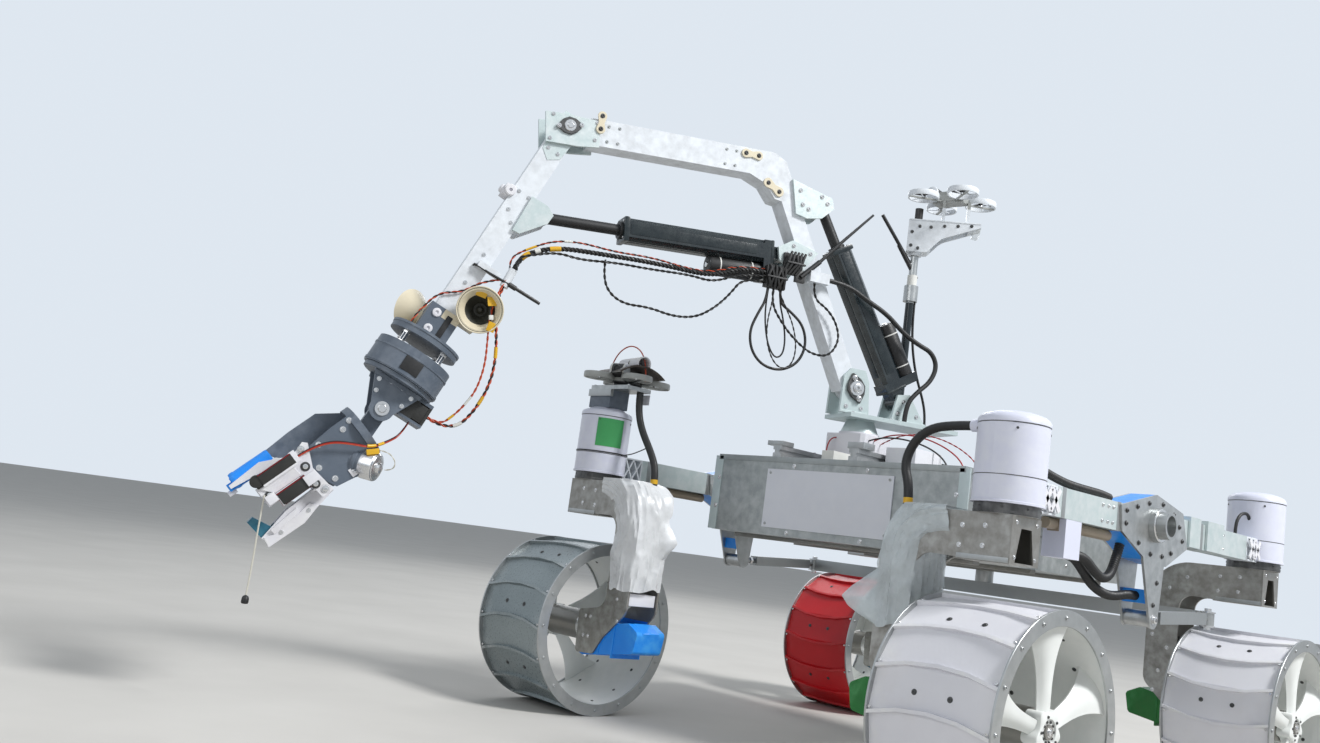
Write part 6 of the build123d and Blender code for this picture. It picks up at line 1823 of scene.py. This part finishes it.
def resample(points, steps):
    """The same line at even steps."""
    total = line_length(points)
    marks = [total * i / steps for i in range(steps + 1)]
    result = []
    travelled = 0.0
    k = 0
    for a, b in zip(points, points[1:]):
        length = (b - a).length
        while k < len(marks) and marks[k] <= travelled + length + 1e-9:
            result.append(a.lerp(b, (marks[k] - travelled) / length if length else 0.0))
            k += 1
        travelled += length
    while len(result) < steps + 1:
        result.append(points[-1].copy())
    return result


for cord in CORDS:
    make_cord(cord)
for wire in WIRES:
    make_wire(wire)


def tie_details():
    """The long cable tie through the forearm's hole, and loose tape flags by the near horn."""
    b = Build(ARM)
    b.use("black_print")
    b.sweep(((778, 17, 129), (777, 25, 130), (768, 30, 127), (750, 32, 118), (731, 38, 110), (712, 39, 103)),
            (2.0, 2.2, 2.2, 2.2, 2.2, 2.6), 8)
    b.rod((717, 39, 105), (704, 38.6, 100), 4.4, 12)
    b.sweep(((706, 38.6, 101), (684, 37, 93), (659, 35, 84)), (3.2, 3.2, 3.0), 8)
    b.use("tape_yellow")
    b.box(735, 750, 49.6, 50.4, 61, 76, 0.2, (6, 12, 8))
    b.box(730, 744, 50.4, 51.2, 18, 34, 0.2, (-14, -10, 10))
    b.use("tape_white")
    b.box(736, 743, 45, 51, 38, 46, 0.8, (0, 10, 0))
    b.piece("tie_and_tags", "forearm", slot="black_print")


tie_details()


# Films on the fork limbs

# the film stays under the turntable and in front of what the fork passes when it steers
BAG_TOP = 443.0
BAG_BACK = 42.0
BAG_WIDTH = 0.32
BAG_AROUND = 96
FLAP_HALF_TURN = 0.42
# (distance inward, height) along the limb, down to the film's own lower end
LIMB = ((-68, 437), (-98, 433), (-124, 418), (-143, 394), (-150, 362), (-151, 330), (-151, 298), (-151, 268))
Bag = namedtuple("Bag", "corner name finish bottom seed flaps")
BAGS = (
    # flaps are (angle, share of the length, reach, spread)
    Bag("fr", "limb_bag_fr", "white_film", 240, 3.1, ((135, 0.33, 20, 0.12), (128, 0.62, 22, 0.14))),
    Bag("fl", "limb_bag_fl", "blue_film", 258, 8.4, ((52, 0.8, 52, 0.2), (120, 0.6, 12, 0.2))),
)


def crease_depth(bag, a, share):
    """How far the film stands off the limb at an angle and a share of its length."""
    seat = Vector((cos(a) * 1.5 + bag.seed, sin(a) * 1.5, share * 1.7))
    ridge = 1.0 - abs(noise.noise(seat)) * 4.2
    fine = 1.0 - abs(noise.noise(seat * 2.6)) * 4.2
    depth = 1.2 + 4.4 * max(0.0, ridge) + 2.2 * max(0.0, fine)
    for angle, at, reach, spread in bag.flaps:
        turn = (a - radians(angle) + pi) % (2 * pi) - pi
        near_angle = max(0.0, 1 - abs(turn) / FLAP_HALF_TURN) ** 1.4
        depth += reach * near_angle * max(0.0, 1 - abs(share - at) / spread) ** 0.8
    return depth


def limb_bag(bag):
    """A thin film drawn round a fork's limb, creased, with loose flaps."""
    fore, side = CORNERS[bag.corner]
    path = spline_points([Vector((0, y, z)) for y, z in LIMB + ((-152, bag.bottom),)], 9)
    b = Build(placed(fore * AXLE_X, side * STEER_Y, 0))
    b.use(bag.finish)
    out = Vector((1, 0, 0))
    rings = []
    for i, point in enumerate(path):
        tangent = (path[min(i + 1, len(path) - 1)] - path[max(i - 1, 0)]).normalized()
        up = tangent.cross(out)
        share = i / (len(path) - 1)
        wide = 41.0 + 2.0 * share
        deep = 32.5 + 3.0 * sin(pi * share)
        ring = []
        for k in range(BAG_AROUND):
            a = 2 * pi * k / BAG_AROUND
            x = cos(a)
            y = sin(a)
            squash = 1.0 / max(abs(x), abs(y)) ** 0.55
            place = point + out * x * wide * squash + up * y * deep * squash
            drop = noise.noise(Vector((bag.seed, a * 1.4, 0))) * 14.0 * max(0.0, share - 0.86) * 7
            place += (out * x + up * y) * crease_depth(bag, a, share) + Vector((0, 0, drop))
            if place.z > BAG_TOP:
                place.z = BAG_TOP - 0.03 * (place.z - BAG_TOP)
            if place.x < -BAG_BACK:
                place.x = -BAG_BACK + 0.15 * (place.x + BAG_BACK)
            ring.append(b.mesh.verts.new(place))
        rings.append(ring)
    skin(b.mesh, rings)
    if side < 0:
        mirror_y(b)
    made = b.piece(bag.name, f"steer_{bag.corner}", angle=38.0)
    area = sum(p.area for p in made.data.polygons)
    print("bag", bag.name, round(area, 4))
    flat = (BAG_WIDTH, round(area / BAG_WIDTH, 3))
    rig.sheet(made, flat=flat, held="gathered", rests_on=[f"fork_{bag.corner}"])


for bag in BAGS:
    limb_bag(bag)


# Floor, background and lamps

FLOOR_HALF = 40.0
FLOOR_TONES = ((0.80, 0.79, 0.77), (0.77, 0.76, 0.74))
SKY = (0.80, 0.87, 0.95, 1.0)
SKY_LIGHT = 0.40
SKY_SEEN = 0.92


def make_floor():
    size = FLOOR_HALF
    mesh = bpy.data.meshes.new("floor")
    corners = [(-size, -size, 0), (size, -size, 0), (size, size, 0), (-size, size, 0)]
    mesh.from_pydata(corners, [], [(0, 1, 2, 3)])
    floor = add_object("floor", mesh)
    s = Shader("pale_floor")
    s.put(s.bsdf.inputs["Base Color"], s.mix(s.span(s.noise(3.0), 0.3, 0.7), *FLOOR_TONES))
    s.bsdf.inputs["Roughness"].default_value = 0.9
    mesh.materials.append(s.material)
    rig.stage(floor)


def make_background():
    """A pale blue world, brighter where the camera or a reflection sees it than as a light."""
    world = bpy.data.worlds.new("studio")
    world.use_nodes = True
    bpy.context.scene.world = world
    tree = world.node_tree
    background = tree.nodes["Background"]
    path = tree.nodes.new("ShaderNodeLightPath")
    seen = path.outputs["Is Camera Ray"]
    for kind in ("Is Glossy Ray", "Is Transmission Ray"):
        either = tree.nodes.new("ShaderNodeMath")
        either.operation = "MAXIMUM"
        tree.links.new(seen, either.inputs[0])
        tree.links.new(path.outputs[kind], either.inputs[1])
        seen = either.outputs[0]
    strength = tree.nodes.new("ShaderNodeMapRange")
    strength.inputs["To Min"].default_value = SKY_LIGHT
    strength.inputs["To Max"].default_value = SKY_SEEN
    tree.links.new(seen, strength.inputs["Value"])
    tree.links.new(strength.outputs["Result"], background.inputs["Strength"])
    background.inputs["Color"].default_value = SKY


LIGHTS = (
    # name, position, size, power
    ("key_light", (-1.0, 4.2, 4.8), 1.4, 420.0),
    ("fill_light", (4.5, 0.5, 2.5), 3.0, 45.0),
    ("back_light", (-3.0, -3.5, 3.5), 2.5, 60.0),
)
AIM = Vector((0.3, 0.0, 0.5))


def make_lights():
    for name, place, size, power in LIGHTS:
        data = bpy.data.lights.new(name, "AREA")
        data.size = size
        data.energy = power
        lamp = add_object(name, data)
        turn = (AIM - Vector(place)).to_track_quat("-Z", "Y").to_matrix().to_4x4()
        lamp.matrix_world = Matrix.Translation(place) @ turn


make_camera()
make_lights()
make_floor()
make_background()
bpy.context.scene.view_settings.view_transform = "Standard"

with open("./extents.json", "w") as out:
    json.dump({
        "cad": [list(corner) for corner in cad_box],
        "visual": [list(corner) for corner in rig.bounds()],
    }, out)
